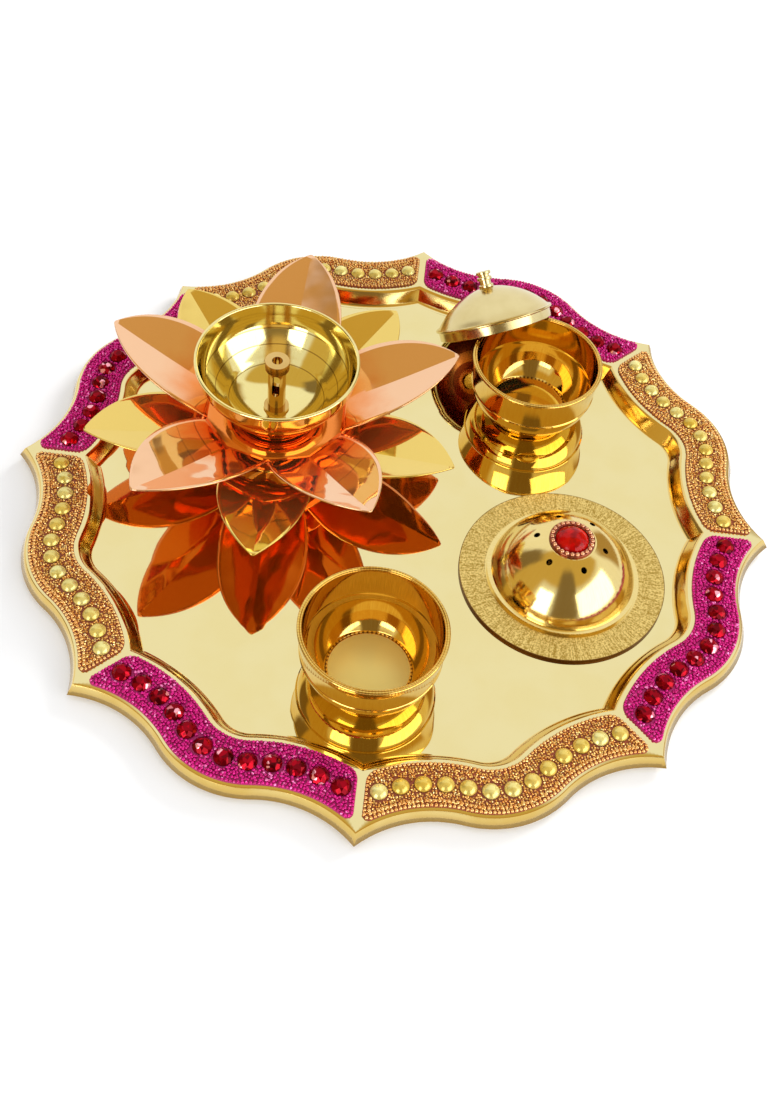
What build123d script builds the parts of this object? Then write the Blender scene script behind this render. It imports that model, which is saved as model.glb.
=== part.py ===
from build123d import *
import math
import os

# A worship plate: an eight-lobed brass tray with jewelled rim panels, carrying a lotus lamp,
# two small bowls, the lid of one of them and an incense stand. Millimetres, +Z up.
# The origin is on the table under the middle of the tray, and -Y is the front.

# Tray outline: eight lobes meeting in sharp tips
LOBES = 8
TIP_RADIUS = 150.0
CREST_RADIUS = 146.7
LOBE_RADIUS = 36.75
HOLLOW_SHARE = 0.714
FIRST_TIP_ANGLE = -90.0

# Tray section, from the outside in
SHEET = 1.0
WELL_DEPTH = 6.0
SKIRT_DROP = 4.5
SKIRT_FLARE = 2.0
LEDGE_WIDTH = 19.6
LIP_WIDTH = 1.2
LIP_DROP = 0.9
WALL_RUN = 3.4

# Jewelled panels on the ledge
PANEL_MARGIN = 1.0
PANEL_WIDTH = 17.4
PANEL_END_GAP = 1.3
PANEL_OUTER_CORNER = 2.5
PANEL_INNER_CORNER = 6.0
BED_HEIGHT = 0.8
BORDER_WIDTH = 1.5
BORDER_HEIGHT = 1.5
CABOCHON_COUNT = 13
CABOCHON_SIZE = 6.4
CABOCHON_HEIGHT = 2.2
RHINESTONE_COUNT = 12
RHINESTONE_SIZE = 7.2
RHINESTONE_TABLE = 4.2
RHINESTONE_HEIGHT = 2.3
STONE_END_GAP = 0.3

# Lotus lamp
LOTUS_ANGLE = 156.14
LOTUS_WALL_GAP = 45.64
PETALS = 5
COPPER_PETAL_ANGLE = 19.7
BRASS_PETAL_ANGLE = 55.7
HUB_SHEET = 1.6
PETAL_SHEET = 1.0
PETAL_ROOT_OVERLAP = 2.0
PETAL_TIP_WIDTH = 0.8
PETAL_CUP = 0.3
BRASS_HUB_HEIGHT = 11.0
BRASS_HUB_RADIUS = 27.0
BRASS_HUB_RISE = 0.6
BRASS_TIP_RADIUS = 76.5
BRASS_TIP_HEIGHT = 24.0
BRASS_SIDE_RISE = 7.0
COPPER_HUB_HEIGHT = 20.0
COPPER_HUB_RADIUS = 30.0
COPPER_HUB_RISE = 1.4
COPPER_TIP_RADIUS = 75.0
COPPER_TIP_HEIGHT = 39.0
COPPER_SIDE_RISE = 7.0
BACK_PETAL_TURN = -4.8
LEFT_PETAL_REACH = -3.6
FRONT_LEFT_PETAL_REACH = 3.5
FRONT_RIGHT_PETAL_TURN = -2.4
PETAL_HALF_WIDTH = 21.0
LOTUS_FOOT_RADIUS = 20.0
LOTUS_FOOT_EDGE = 1.5
LOTUS_NECK_RADIUS = 8.0
LOTUS_SHOULDER_RADIUS = 13.0
LOTUS_POST_RADIUS = 9.5
LOTUS_STUD_RADIUS = 6.0
HUB_FIT = 0.1

# Lamp bowl and its wick holder
LAMP_RIM_RADIUS = 32.2
LAMP_HEIGHT = 28.9
LAMP_BASE_RADIUS = 13.0
LAMP_BAND = 3.0
LAMP_BAND_FLARE = 0.8
LAMP_WALL = 1.3
LAMP_BEAD = 0.9
WICK_HEIGHT = 26.5
WICK_TUBE_RADIUS = 3.6
WICK_BORE = 4.2
WICK_COLLAR_RADIUS = 4.8
WICK_COLLAR_HEIGHT = 4.0
WICK_FOOT_RADIUS = 5.0
WICK_FOOT_HEIGHT = 2.0
WICK_SLOT_WIDTH = 3.0
WICK_SLOT_HEIGHT = 11.0
WICK_SLOT_LIFT = 10.0

# Small bowls
LIDDED_BOWL_ANGLE = 50.62
LIDDED_BOWL_WALL_GAP = 12.44
OPEN_BOWL_ANGLE = -91.55
OPEN_BOWL_WALL_GAP = 14.37
BOWL_RIM_RADIUS = 27.0
BOWL_HEIGHT = 28.0
BOWL_BASE_RADIUS = 14.5
BOWL_BAND = 14.0
BOWL_BAND_FLARE = 1.0
BOWL_WALL = 1.1
BOWL_BEAD = 0.8

# Lid leaning on the lidded bowl
LID_FIT = 0.9
LID_SKIRT_DEPTH = 4.0
LID_FLANGE_OVERHANG = 1.0
LID_FLANGE_HEIGHT = 1.1
LID_DOME_HEIGHT = 14.0
LID_DOME_BULGE = 2.2
LID_SHEET = 0.9
LID_PAD_RADIUS = 4.2
LID_TILT = 42.3
LID_LEAN_ANGLE = 122.2
LID_FLOOR_GAP = 0.3
LID_RIM_GAP = 0.55
KNOB_RADIUS = 3.2
KNOB_WAIST_RADIUS = 2.4
KNOB_HEIGHT = 7.2
KNOB_RINGS = 3
RIVET_RADIUS = 1.5
RIVET_HEAD_RADIUS = 3.8
RIVET_HEAD_HEIGHT = 1.2
RIVET_DEPTH = 4.0
RIVET_FIT = 0.1

# Incense stand
STAND_ANGLE = -20.65
STAND_WALL_GAP = 7.76
STAND_FLANGE_RADIUS = 41.0
STAND_FLANGE_HEIGHT = 1.3
STAND_STEP_RADIUS = 30.0
STAND_STEP_HEIGHT = 1.6
STAND_DOME_RADIUS = 28.4
STAND_DOME_HEIGHT = 22.6
STAND_DOME_BULGE = 3.0
STAND_PAD_RADIUS = 9.6
STAND_WALL = 1.0
STICK_HOLES = 6
STICK_HOLE = 2.3
STICK_CIRCLE_RADIUS = 13.4
STICK_HOLE_ANGLE = -8.0
STONE_SIZE = 13.0
STONE_HEIGHT = 4.2
STONE_FIT = 0.1
SETTING_HEIGHT = 1.5
SETTING_WIDTH = 2.3
SETTING_BEADS = 24
SETTING_BEAD_RADIUS = 0.85

# Gap under a piece that stands on another
REST_GAP = 0.05

sector = 360.0 / LOBES
floor_top = SHEET
ledge_top = floor_top + WELL_DEPTH
rest = floor_top + REST_GAP
floor_radius = CREST_RADIUS - LEDGE_WIDTH - LIP_WIDTH - WALL_RUN


def polar(radius, angle):
    return Vector(radius * math.cos(math.radians(angle)), radius * math.sin(math.radians(angle)))


def floor_place(angle, half_width, wall_gap):
    """Where a piece stands on the floor: its gap from the foot of the wall at a lobe's crest."""
    return polar(floor_radius - half_width - wall_gap, angle)


def mirrored(point):
    """The same point on the other side of the lobe that starts at the +X tip."""
    return polar(point.length, sector - math.degrees(math.atan2(point.Y, point.X)))


# Arc centres of the first lobe: the lobe's own, and the hollow beside the +X tip
lobe_centre = polar(CREST_RADIUS - LOBE_RADIUS, sector / 2)
tip = Vector(TIP_RADIUS, 0)


# The hollow's radius is a share of the way from the lobe's centre to the tip
lobe_to_tip = tip - lobe_centre
hollow_radius = HOLLOW_SHARE * lobe_to_tip.length


def hollow_centre_beside_tip():
    """Where the hollow touches the lobe and passes through the tip, on the outer side."""
    reach = LOBE_RADIUS + hollow_radius
    along = (reach**2 - hollow_radius**2 + lobe_to_tip.length**2) / (2 * lobe_to_tip.length)
    across = math.sqrt(reach**2 - along**2)
    direction = lobe_to_tip.normalized()
    side = Vector(-direction.Y, direction.X)
    return lobe_centre + direction * along + side * across


hollow_centre = hollow_centre_beside_tip()


def hollow_point(inset, height):
    """Point of the inset hollow at the given distance from the tip's radius."""
    radius = hollow_radius + inset
    rise = hollow_centre.Y - height
    return Vector(hollow_centre.X - math.sqrt(radius**2 - rise**2), height)


def lobe_arcs(inset, end_gap):
    """Hollow, lobe and hollow arcs of the first sector, inset from the ledge's edge."""
    start = hollow_point(inset, end_gap)
    joint_direction = (hollow_centre - lobe_centre).normalized()
    joint = lobe_centre + joint_direction * (LOBE_RADIUS - inset)
    middle = hollow_point(inset, (start.Y + joint.Y) / 2)
    crest = polar(CREST_RADIUS - inset, sector / 2)
    return [
        ThreePointArc(start, middle, joint),
        ThreePointArc(joint, crest, mirrored(joint)),
        ThreePointArc(mirrored(joint), mirrored(middle), mirrored(start)),
    ]


def outline(inset, height):
    """Face of the whole eight-lobed outline at a height."""
    edges = []
    for lobe in range(LOBES):
        edges += [edge.rotate(Axis.Z, FIRST_TIP_ANGLE + sector * lobe) for edge in lobe_arcs(inset, 0)]
    return Pos(0, 0, height) * make_face(edges)


def lobed_frustum(*steps):
    """Solid whose outline changes straight from one (inset, height) to the next."""
    solid = None
    for low, high in zip(steps, steps[1:]):
        layer = loft([outline(*low), outline(*high)], ruled=True)
        solid = layer if solid is None else solid + layer
    return solid


def tray():
    lip = LEDGE_WIDTH + LIP_WIDTH
    floor_edge = lip + WALL_RUN
    skirt_bottom = ledge_top - SKIRT_DROP
    ledge_bottom = ledge_top - SHEET
    brim = lobed_frustum((-SKIRT_FLARE, skirt_bottom), (0, ledge_top))
    under = lobed_frustum((SHEET - SKIRT_FLARE, skirt_bottom), (SHEET, ledge_bottom))
    dish = lobed_frustum((floor_edge - SHEET / 2, 0), (lip - SHEET, ledge_bottom))
    well = lobed_frustum((floor_edge, floor_top), (lip, ledge_top - LIP_DROP), (LEDGE_WIDTH, ledge_top))
    return brim - under + dish - well


def panel_face(margin):
    """Outline of one rim panel, drawn in by a margin, in the first sector."""
    outer = PANEL_MARGIN + margin
    inner = PANEL_MARGIN + PANEL_WIDTH - margin
    outer_arcs = lobe_arcs(outer, PANEL_END_GAP + margin)
    inner_arcs = lobe_arcs(inner, PANEL_END_GAP + margin)
    first_end = Line(outer_arcs[0] @ 0, inner_arcs[0] @ 0)
    last_end = Line(outer_arcs[2] @ 1, inner_arcs[2] @ 1)
    face = make_face(outer_arcs + inner_arcs + [first_end, last_end])
    for arcs, corner in ((outer_arcs, PANEL_OUTER_CORNER), (inner_arcs, PANEL_INNER_CORNER)):
        corners = [face.vertices().sort_by_distance(end)[0] for end in (arcs[0] @ 0, arcs[2] @ 1)]
        face = fillet(corners, corner - margin)
    return face


def cabochon(size, height):
    radius = (size**2 / 4 + height**2) / (2 * height)
    return split(Pos(0, 0, height - radius) * Sphere(radius), Plane.XY)


def rhinestone():
    girdle = RegularPolygon(RHINESTONE_SIZE / 2, 8)
    table = Pos(0, 0, RHINESTONE_HEIGHT) * RegularPolygon(RHINESTONE_TABLE / 2, 8)
    return loft([girdle, table], ruled=True)


def panel_stones(stone, size, count):
    """Stones in a row along the middle of a panel, from border to border, in the first sector."""
    end_gap = PANEL_END_GAP + BORDER_WIDTH + STONE_END_GAP + size / 2
    line = Wire(lobe_arcs(PANEL_MARGIN + PANEL_WIDTH / 2, end_gap))
    places = [line @ (index / (count - 1)) for index in range(count)]
    return Compound(children=[Pos(place) * stone for place in places])


def panel_nodes():
    """Bed, border and stones of every panel, gold and red in turn from the front tip."""
    whole, middle = panel_face(0), panel_face(BORDER_WIDTH)
    bed = extrude(middle, BED_HEIGHT)
    border = extrude(whole - middle, BORDER_HEIGHT)
    cabochons = panel_stones(cabochon(CABOCHON_SIZE, CABOCHON_HEIGHT), CABOCHON_SIZE, CABOCHON_COUNT)
    rhinestones = panel_stones(rhinestone(), RHINESTONE_SIZE, RHINESTONE_COUNT)
    nodes = {}
    for lobe in range(LOBES):
        seat = Pos(0, 0, ledge_top) * Rot(0, 0, FIRST_TIP_ANGLE + sector * lobe)
        colour = "gold" if lobe % 2 == 0 else "red"
        stones = cabochons if colour == "gold" else rhinestones
        nodes[f"{colour}_panel_bed_{lobe + 1}"] = seat * bed
        nodes[f"{colour}_panel_border_{lobe + 1}"] = seat * border
        nodes[f"{colour}_panel_stones_{lobe + 1}"] = seat * Pos(0, 0, BED_HEIGHT) * stones
    return nodes


def turned_solid(edges):
    """Solid of revolution about Z from a closed outline in the XZ plane."""
    return revolve(make_face(edges), Axis.Z)


def section(*points):
    """Straight-sided outline in the XZ plane."""
    return Polyline([(x, 0, z) for x, z in points], close=True)


def bowl(rim_radius, height, base_radius, band, band_flare, wall, bead):
    """Open bowl: flat base, round belly, nearly upright band and a beaded rim."""
    band_radius = rim_radius - band_flare
    belly_height = height - band
    run = band_radius - base_radius
    belly = (run**2 + belly_height**2) / (2 * run)
    centre = band_radius - belly

    def belly_arc(radius, bottom):
        start_angle = math.asin((bottom - belly_height) / radius)
        points = []
        for angle in (start_angle, start_angle / 2, 0):
            points.append((centre + radius * math.cos(angle), 0, belly_height + radius * math.sin(angle)))
        return ThreePointArc(*points)

    outside = belly_arc(belly, 0)
    inside = belly_arc(belly - wall, wall)
    lip_out = (rim_radius, 0, height - bead)
    lip_in = (rim_radius - wall, 0, height - bead)
    shell = turned_solid([
        Line((0, 0, 0), outside @ 0),
        outside,
        Line(outside @ 1, lip_out),
        Line(lip_out, lip_in),
        Line(lip_in, inside @ 1),
        inside,
        Line(inside @ 0, (0, 0, wall)),
        Line((0, 0, wall), (0, 0, 0)),
    ])
    return shell + Pos(0, 0, height - bead) * Torus(rim_radius - wall / 2, bead)


def petal(hub_radius, hub_rise, tip_radius, tip_rise, side_rise):
    """One petal along +X, creased along its middle, from the hub's edge to its tip."""
    root = hub_radius - PETAL_ROOT_OVERLAP
    root_height = hub_rise + (HUB_SHEET - PETAL_SHEET) / 2
    length, climb = tip_radius - root, tip_rise - root_height
    crease = [
        Vector(root, 0, root_height),
        Vector(root + length * 0.33, 0, root_height + climb * 0.26),
        Vector(root + length * 0.67, 0, root_height + climb * 0.63),
        Vector(tip_radius, 0, tip_rise),
    ]
    notch = polar(root, 180.0 / PETALS)
    edge = [
        Vector(notch.X, notch.Y, root_height),
        Vector(root + length * 0.28, PETAL_HALF_WIDTH + PETAL_SHEET, root_height + climb * 0.22 + side_rise),
        Vector(root + length * 0.72, PETAL_HALF_WIDTH * 0.85, root_height + climb * 0.68 + side_rise * 0.8),
        Vector(tip_radius, PETAL_TIP_WIDTH / 2, tip_rise),
    ]
    dip = Vector(0, 0, PETAL_CUP)
    rows = [[inner, (inner + outer) / 2 - dip, outer] for inner, outer in zip(crease[:3], edge[:3])]
    rows.append([crease[3], (crease[3] + edge[3]) / 2, edge[3]])
    half = extrude(Face.make_bezier_surface(rows), PETAL_SHEET, dir=(0, 0, 1))
    return half + mirror(half, about=Plane.XZ)


def petal_layer(hub_hole, hub_radius, hub_rise, tip_radius, tip_rise, side_rise, bends):
    """Petals round a dished hub, standing on the hub's underside. A bend is a petal's (turn, reach)."""
    layer = turned_solid(section(
        (hub_hole, 0),
        (LOTUS_SHOULDER_RADIUS, 0),
        (hub_radius, hub_rise),
        (hub_radius, hub_rise + HUB_SHEET),
        (LOTUS_SHOULDER_RADIUS, HUB_SHEET),
        (hub_hole, HUB_SHEET),
    ))
    for index in range(PETALS):
        turn, reach = bends.get(index, (0, 0))
        bent = petal(hub_radius, hub_rise, tip_radius + reach, tip_rise, side_rise)
        layer += Rot(0, 0, index * 360.0 / PETALS + turn) * bent
    return layer


def lotus_foot():
    """Turned pedestal with a shoulder for each petal layer."""
    return turned_solid(section(
        (0, 0),
        (LOTUS_FOOT_RADIUS, 0),
        (LOTUS_FOOT_RADIUS, LOTUS_FOOT_EDGE),
        (LOTUS_NECK_RADIUS, BRASS_HUB_HEIGHT / 2),
        (LOTUS_NECK_RADIUS, BRASS_HUB_HEIGHT * 0.75),
        (LOTUS_SHOULDER_RADIUS, BRASS_HUB_HEIGHT),
        (LOTUS_POST_RADIUS, BRASS_HUB_HEIGHT),
        (LOTUS_POST_RADIUS, COPPER_HUB_HEIGHT),
        (LOTUS_STUD_RADIUS, COPPER_HUB_HEIGHT),
        (LOTUS_STUD_RADIUS, COPPER_HUB_HEIGHT + HUB_SHEET),
        (0, COPPER_HUB_HEIGHT + HUB_SHEET),
    ))


def wick_holder():
    """Slotted tube with a collar at the top and a wider foot."""
    tube = Cylinder(WICK_TUBE_RADIUS, WICK_HEIGHT, align=(Align.CENTER, Align.CENTER, Align.MIN))
    foot = Cylinder(WICK_FOOT_RADIUS, WICK_FOOT_HEIGHT, align=(Align.CENTER, Align.CENTER, Align.MIN))
    collar_base = WICK_HEIGHT - WICK_COLLAR_HEIGHT
    collar = Cylinder(WICK_COLLAR_RADIUS, WICK_COLLAR_HEIGHT, align=(Align.CENTER, Align.CENTER, Align.MIN))
    bore = Cylinder(WICK_BORE / 2, WICK_HEIGHT, align=(Align.CENTER, Align.CENTER, Align.MIN))
    slot_centre = WICK_SLOT_LIFT + WICK_SLOT_HEIGHT / 2
    slot = Plane.XZ * SlotOverall(WICK_SLOT_HEIGHT, WICK_SLOT_WIDTH, rotation=90)
    window = Pos(0, 0, slot_centre) * extrude(slot, WICK_COLLAR_RADIUS, both=True)
    body = tube + foot + Pos(0, 0, collar_base) * collar
    return body - Pos(0, 0, WICK_FOOT_HEIGHT) * bore - window


def lotus_nodes():
    base = Pos(floor_place(LOTUS_ANGLE, LOTUS_FOOT_RADIUS, LOTUS_WALL_GAP)) * Pos(0, 0, rest)
    brass = petal_layer(
        LOTUS_POST_RADIUS + HUB_FIT,
        BRASS_HUB_RADIUS,
        BRASS_HUB_RISE,
        BRASS_TIP_RADIUS,
        BRASS_TIP_HEIGHT - BRASS_HUB_HEIGHT,
        BRASS_SIDE_RISE,
        {},
    )
    # The copper petals were bent by hand, so four of the five stand a little off their even places
    copper_bends = {
        1: (BACK_PETAL_TURN, 0),
        2: (0, LEFT_PETAL_REACH),
        3: (0, FRONT_LEFT_PETAL_REACH),
        4: (FRONT_RIGHT_PETAL_TURN, 0),
    }
    copper = petal_layer(
        LOTUS_STUD_RADIUS + HUB_FIT,
        COPPER_HUB_RADIUS,
        COPPER_HUB_RISE,
        COPPER_TIP_RADIUS,
        COPPER_TIP_HEIGHT - COPPER_HUB_HEIGHT,
        COPPER_SIDE_RISE,
        copper_bends,
    )
    lamp = bowl(
        LAMP_RIM_RADIUS, LAMP_HEIGHT, LAMP_BASE_RADIUS, LAMP_BAND, LAMP_BAND_FLARE, LAMP_WALL, LAMP_BEAD
    )
    lamp_base = base * Pos(0, 0, COPPER_HUB_HEIGHT + HUB_SHEET)
    return {
        "lotus_foot": base * lotus_foot(),
        "brass_petals": base * Pos(0, 0, BRASS_HUB_HEIGHT) * Rot(0, 0, BRASS_PETAL_ANGLE) * brass,
        "copper_petals": base * Pos(0, 0, COPPER_HUB_HEIGHT) * Rot(0, 0, COPPER_PETAL_ANGLE) * copper,
        "lamp_bowl": lamp_base * lamp,
        "wick_holder": lamp_base * Pos(0, 0, LAMP_WALL + REST_GAP) * wick_holder(),
    }


bowl_places = {
    "lidded_bowl": floor_place(LIDDED_BOWL_ANGLE, BOWL_RIM_RADIUS, LIDDED_BOWL_WALL_GAP),
    "open_bowl": floor_place(OPEN_BOWL_ANGLE, BOWL_RIM_RADIUS, OPEN_BOWL_WALL_GAP),
}


def bowl_nodes():
    small_bowl = bowl(
        BOWL_RIM_RADIUS, BOWL_HEIGHT, BOWL_BASE_RADIUS, BOWL_BAND, BOWL_BAND_FLARE, BOWL_WALL, BOWL_BEAD
    )
    return {name: Pos(place.X, place.Y, rest) * small_bowl for name, place in bowl_places.items()}


# The lid's skirt fits inside the bowl's beaded rim
skirt_radius = BOWL_RIM_RADIUS - BOWL_WALL / 2 - BOWL_BEAD - LID_FIT
skirt_inner_radius = skirt_radius - LID_SHEET


def lid_shell():
    """Domed lid: skirt below the flange, flat pad on top with a rivet hole. Flange underside at 0."""
    flange_radius = skirt_radius + LID_FLANGE_OVERHANG
    dome_foot = (skirt_radius, 0, LID_FLANGE_HEIGHT)
    dome_top = (LID_PAD_RADIUS, 0, LID_DOME_HEIGHT)
    inner_foot = (skirt_inner_radius, 0, LID_FLANGE_HEIGHT - LID_SHEET)
    inner_top = (LID_PAD_RADIUS, 0, LID_DOME_HEIGHT - LID_SHEET)

    def dome_arc(foot, top):
        middle = (Vector(*foot) + Vector(*top)) / 2
        slope = (Vector(*top) - Vector(*foot)).normalized()
        return ThreePointArc(foot, middle + Vector(slope.Z, 0, -slope.X) * LID_DOME_BULGE, top)

    outside = dome_arc(dome_foot, dome_top)
    inside = dome_arc(inner_foot, inner_top)
    rivet_hole = RIVET_RADIUS + RIVET_FIT
    return turned_solid([
        Line((rivet_hole, 0, LID_DOME_HEIGHT), dome_top),
        outside,
        Polyline(
            dome_foot,
            (flange_radius, 0, LID_FLANGE_HEIGHT),
            (flange_radius, 0, 0),
            (skirt_radius, 0, 0),
            (skirt_radius, 0, -LID_SKIRT_DEPTH),
            (skirt_inner_radius, 0, -LID_SKIRT_DEPTH),
            inner_foot,
        ),
        inside,
        Polyline(inner_top, (rivet_hole, 0, LID_DOME_HEIGHT - LID_SHEET), (rivet_hole, 0, LID_DOME_HEIGHT)),
    ])


def lid_knob():
    """Ringed knob with a blind hole for the rivet."""
    knob = Cylinder(KNOB_WAIST_RADIUS, KNOB_HEIGHT, align=(Align.CENTER, Align.CENTER, Align.MIN))
    pitch = KNOB_HEIGHT / KNOB_RINGS
    for ring in range(KNOB_RINGS):
        band = Cylinder(KNOB_RADIUS, pitch * 0.6, align=(Align.CENTER, Align.CENTER, Align.MIN))
        knob += Pos(0, 0, ring * pitch + pitch * 0.4 * (ring > 0)) * band
    hole = Cylinder(RIVET_RADIUS + RIVET_FIT, RIVET_DEPTH, align=(Align.CENTER, Align.CENTER, Align.MIN))
    return knob - hole


def lid_rivet():
    head = Cylinder(RIVET_HEAD_RADIUS, RIVET_HEAD_HEIGHT, align=(Align.CENTER, Align.CENTER, Align.MAX))
    shank_length = LID_SHEET + RIVET_DEPTH - RIVET_FIT
    shank = Cylinder(RIVET_RADIUS, shank_length, align=(Align.CENTER, Align.CENTER, Align.MIN))
    return head + shank


def lid_seat():
    """Place of the lid: its skirt stands on the tray's floor and leans on the bowl's rim."""
    sine, cosine = math.sin(math.radians(LID_TILT)), math.cos(math.radians(LID_TILT))
    edge_height = floor_top + LID_FLOOR_GAP + skirt_radius * sine
    rim_height = rest + BOWL_HEIGHT - BOWL_BEAD
    rim_radius = BOWL_RIM_RADIUS - BOWL_WALL / 2 + (BOWL_BEAD + LID_RIM_GAP) / sine
    # The skirt's inner edge crosses the rim's height at two points, half a chord from the middle
    climb = (rim_height - edge_height) / sine
    half_chord = math.sqrt(skirt_inner_radius**2 - climb**2)
    reach = math.sqrt(rim_radius**2 - half_chord**2) + climb * cosine
    edge_middle = bowl_places["lidded_bowl"] + Vector(0, 0, edge_height) + polar(reach, LID_LEAN_ANGLE)
    lean = Pos(edge_middle) * Rot(0, 0, LID_LEAN_ANGLE) * Rot(0, LID_TILT, 0)
    return lean * Pos(0, 0, LID_SKIRT_DEPTH)


def lid_nodes():
    seat = lid_seat()
    return {
        "lid_shell": seat * lid_shell(),
        "lid_knob": seat * Pos(0, 0, LID_DOME_HEIGHT) * lid_knob(),
        "lid_rivet": seat * Pos(0, 0, LID_DOME_HEIGHT - LID_SHEET) * lid_rivet(),
    }


def incense_dome():
    """Domed stand open below, with a flat flange, a step, a pad and a ring of stick holes."""
    dome_base = STAND_FLANGE_HEIGHT + STAND_STEP_HEIGHT

    def dome_arc(foot, top):
        middle = (Vector(*foot) + Vector(*top)) / 2
        slope = (Vector(*top) - Vector(*foot)).normalized()
        return ThreePointArc(foot, middle + Vector(slope.Z, 0, -slope.X) * STAND_DOME_BULGE, top)

    outside = dome_arc((STAND_DOME_RADIUS, 0, dome_base), (STAND_PAD_RADIUS, 0, STAND_DOME_HEIGHT))
    inner_foot = (STAND_DOME_RADIUS - STAND_WALL, 0, dome_base - STAND_WALL)
    inside = dome_arc(inner_foot, (STAND_PAD_RADIUS - STAND_WALL / 2, 0, STAND_DOME_HEIGHT - STAND_WALL))
    dome = turned_solid([
        Line((0, 0, STAND_DOME_HEIGHT), outside @ 1),
        outside,
        Polyline(
            outside @ 0,
            (STAND_STEP_RADIUS, 0, dome_base),
            (STAND_STEP_RADIUS, 0, STAND_FLANGE_HEIGHT),
            (STAND_FLANGE_RADIUS, 0, STAND_FLANGE_HEIGHT),
            (STAND_FLANGE_RADIUS, 0, 0),
            (STAND_DOME_RADIUS - STAND_WALL, 0, 0),
            inside @ 0,
        ),
        inside,
        Polyline(inside @ 1, (0, 0, STAND_DOME_HEIGHT - STAND_WALL), (0, 0, STAND_DOME_HEIGHT)),
    ])
    for index in range(STICK_HOLES):
        place = polar(STICK_CIRCLE_RADIUS, STICK_HOLE_ANGLE + index * 360.0 / STICK_HOLES)
        dome -= Pos(place.X, place.Y, STAND_DOME_HEIGHT) * Cylinder(STICK_HOLE / 2, STAND_DOME_HEIGHT)
    return dome


def stone_setting():
    """Flat ring with a circle of beads round the stone."""
    inner = STONE_SIZE / 2 + STONE_FIT
    outer = inner + SETTING_WIDTH
    ring = extrude(Circle(outer) - Circle(inner), SETTING_HEIGHT - SETTING_BEAD_RADIUS / 2)
    for index in range(SETTING_BEADS):
        place = polar((inner + outer) / 2, index * 360.0 / SETTING_BEADS)
        ring += Pos(place.X, place.Y, SETTING_HEIGHT - SETTING_BEAD_RADIUS / 2) * Sphere(SETTING_BEAD_RADIUS)
    return ring


def incense_nodes():
    seat = Pos(floor_place(STAND_ANGLE, STAND_FLANGE_RADIUS, STAND_WALL_GAP)) * Pos(0, 0, rest)
    top = seat * Pos(0, 0, STAND_DOME_HEIGHT)
    return {
        "incense_dome": seat * incense_dome(),
        "stone_setting": top * stone_setting(),
        "red_stone": top * cabochon(STONE_SIZE, STONE_HEIGHT),
    }


nodes = {"tray": tray()}
for group in (panel_nodes, lotus_nodes, bowl_nodes, lid_nodes, incense_nodes):
    nodes.update(group())

os.makedirs("parts", exist_ok=True)
for name, solid in nodes.items():
    export_step(solid, f"parts/{name}.step")
    print(name, round(solid.volume, 1))
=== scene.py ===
# %% [markdown]
# # A worship plate with its lamp, bowls, lid and incense stand
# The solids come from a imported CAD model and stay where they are. This lesson dresses them: it makes
# finer meshes for the pieces that polished metal would betray, sets beads and stones on the rim,
# and gives each surface a finish made of nodes.

# %% Load the fixed frame
import math
import random

import bmesh
import bpy
from mathutils import Matrix, Vector


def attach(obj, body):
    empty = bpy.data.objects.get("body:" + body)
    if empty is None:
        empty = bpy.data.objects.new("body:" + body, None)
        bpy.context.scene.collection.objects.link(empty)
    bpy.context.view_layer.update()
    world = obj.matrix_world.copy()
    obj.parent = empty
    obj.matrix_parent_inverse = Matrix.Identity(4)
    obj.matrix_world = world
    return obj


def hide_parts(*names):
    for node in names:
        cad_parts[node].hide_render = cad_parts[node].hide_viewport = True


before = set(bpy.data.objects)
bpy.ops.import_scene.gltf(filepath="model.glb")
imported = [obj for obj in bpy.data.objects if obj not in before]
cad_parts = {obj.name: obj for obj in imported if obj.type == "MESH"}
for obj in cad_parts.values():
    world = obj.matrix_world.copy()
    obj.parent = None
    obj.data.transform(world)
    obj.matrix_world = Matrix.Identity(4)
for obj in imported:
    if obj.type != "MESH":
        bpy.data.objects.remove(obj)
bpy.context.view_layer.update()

MM = 0.001
scene = bpy.context.scene

# %% [markdown]
# ## Camera
# The photograph looks down at the tray from the front, with the camera tipped a little to one side.
# A camera could be aimed with a constraint, but a matrix built from its right, up and back
# directions says the roll plainly.

# %% Place the camera
CAMERA_PLACE = Vector((-4.5, -351.6, 424.8)) * MM
CAMERA_TARGET = Vector((0.6, -32.2, 9.0)) * MM
CAMERA_ROLL = math.radians(7.82)
CAMERA_LENS = 43.93
CAMERA_SENSOR = 36.0


def in_scene(name, data):
    """A new object of the scene, for a mesh, a lamp or a camera."""
    made = bpy.data.objects.new(name, data)
    scene.collection.objects.link(made)
    return made


ahead = (CAMERA_TARGET - CAMERA_PLACE).normalized()
level_right = ahead.cross(Vector((0, 0, 1))).normalized()
level_up = level_right.cross(ahead)
right = level_right * math.cos(CAMERA_ROLL) + level_up * math.sin(CAMERA_ROLL)
up = level_up * math.cos(CAMERA_ROLL) - level_right * math.sin(CAMERA_ROLL)
camera = in_scene("camera", bpy.data.cameras.new("camera"))
facing = Matrix((right, up, -ahead)).transposed().to_4x4()
camera.matrix_world = Matrix.Translation(CAMERA_PLACE) @ facing
camera.data.lens = CAMERA_LENS
camera.data.sensor_width = CAMERA_SENSOR
camera.data.clip_start = 0.01
scene.camera = camera
print("camera distance, mm:", round((CAMERA_TARGET - CAMERA_PLACE).length / MM))

# %% [markdown]
# ## Wires
# Finishes are node trees. Writing them as links is long, so one small class wraps a socket: sums and
# products of wires add Math nodes, and any other node comes from its one method.

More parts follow.
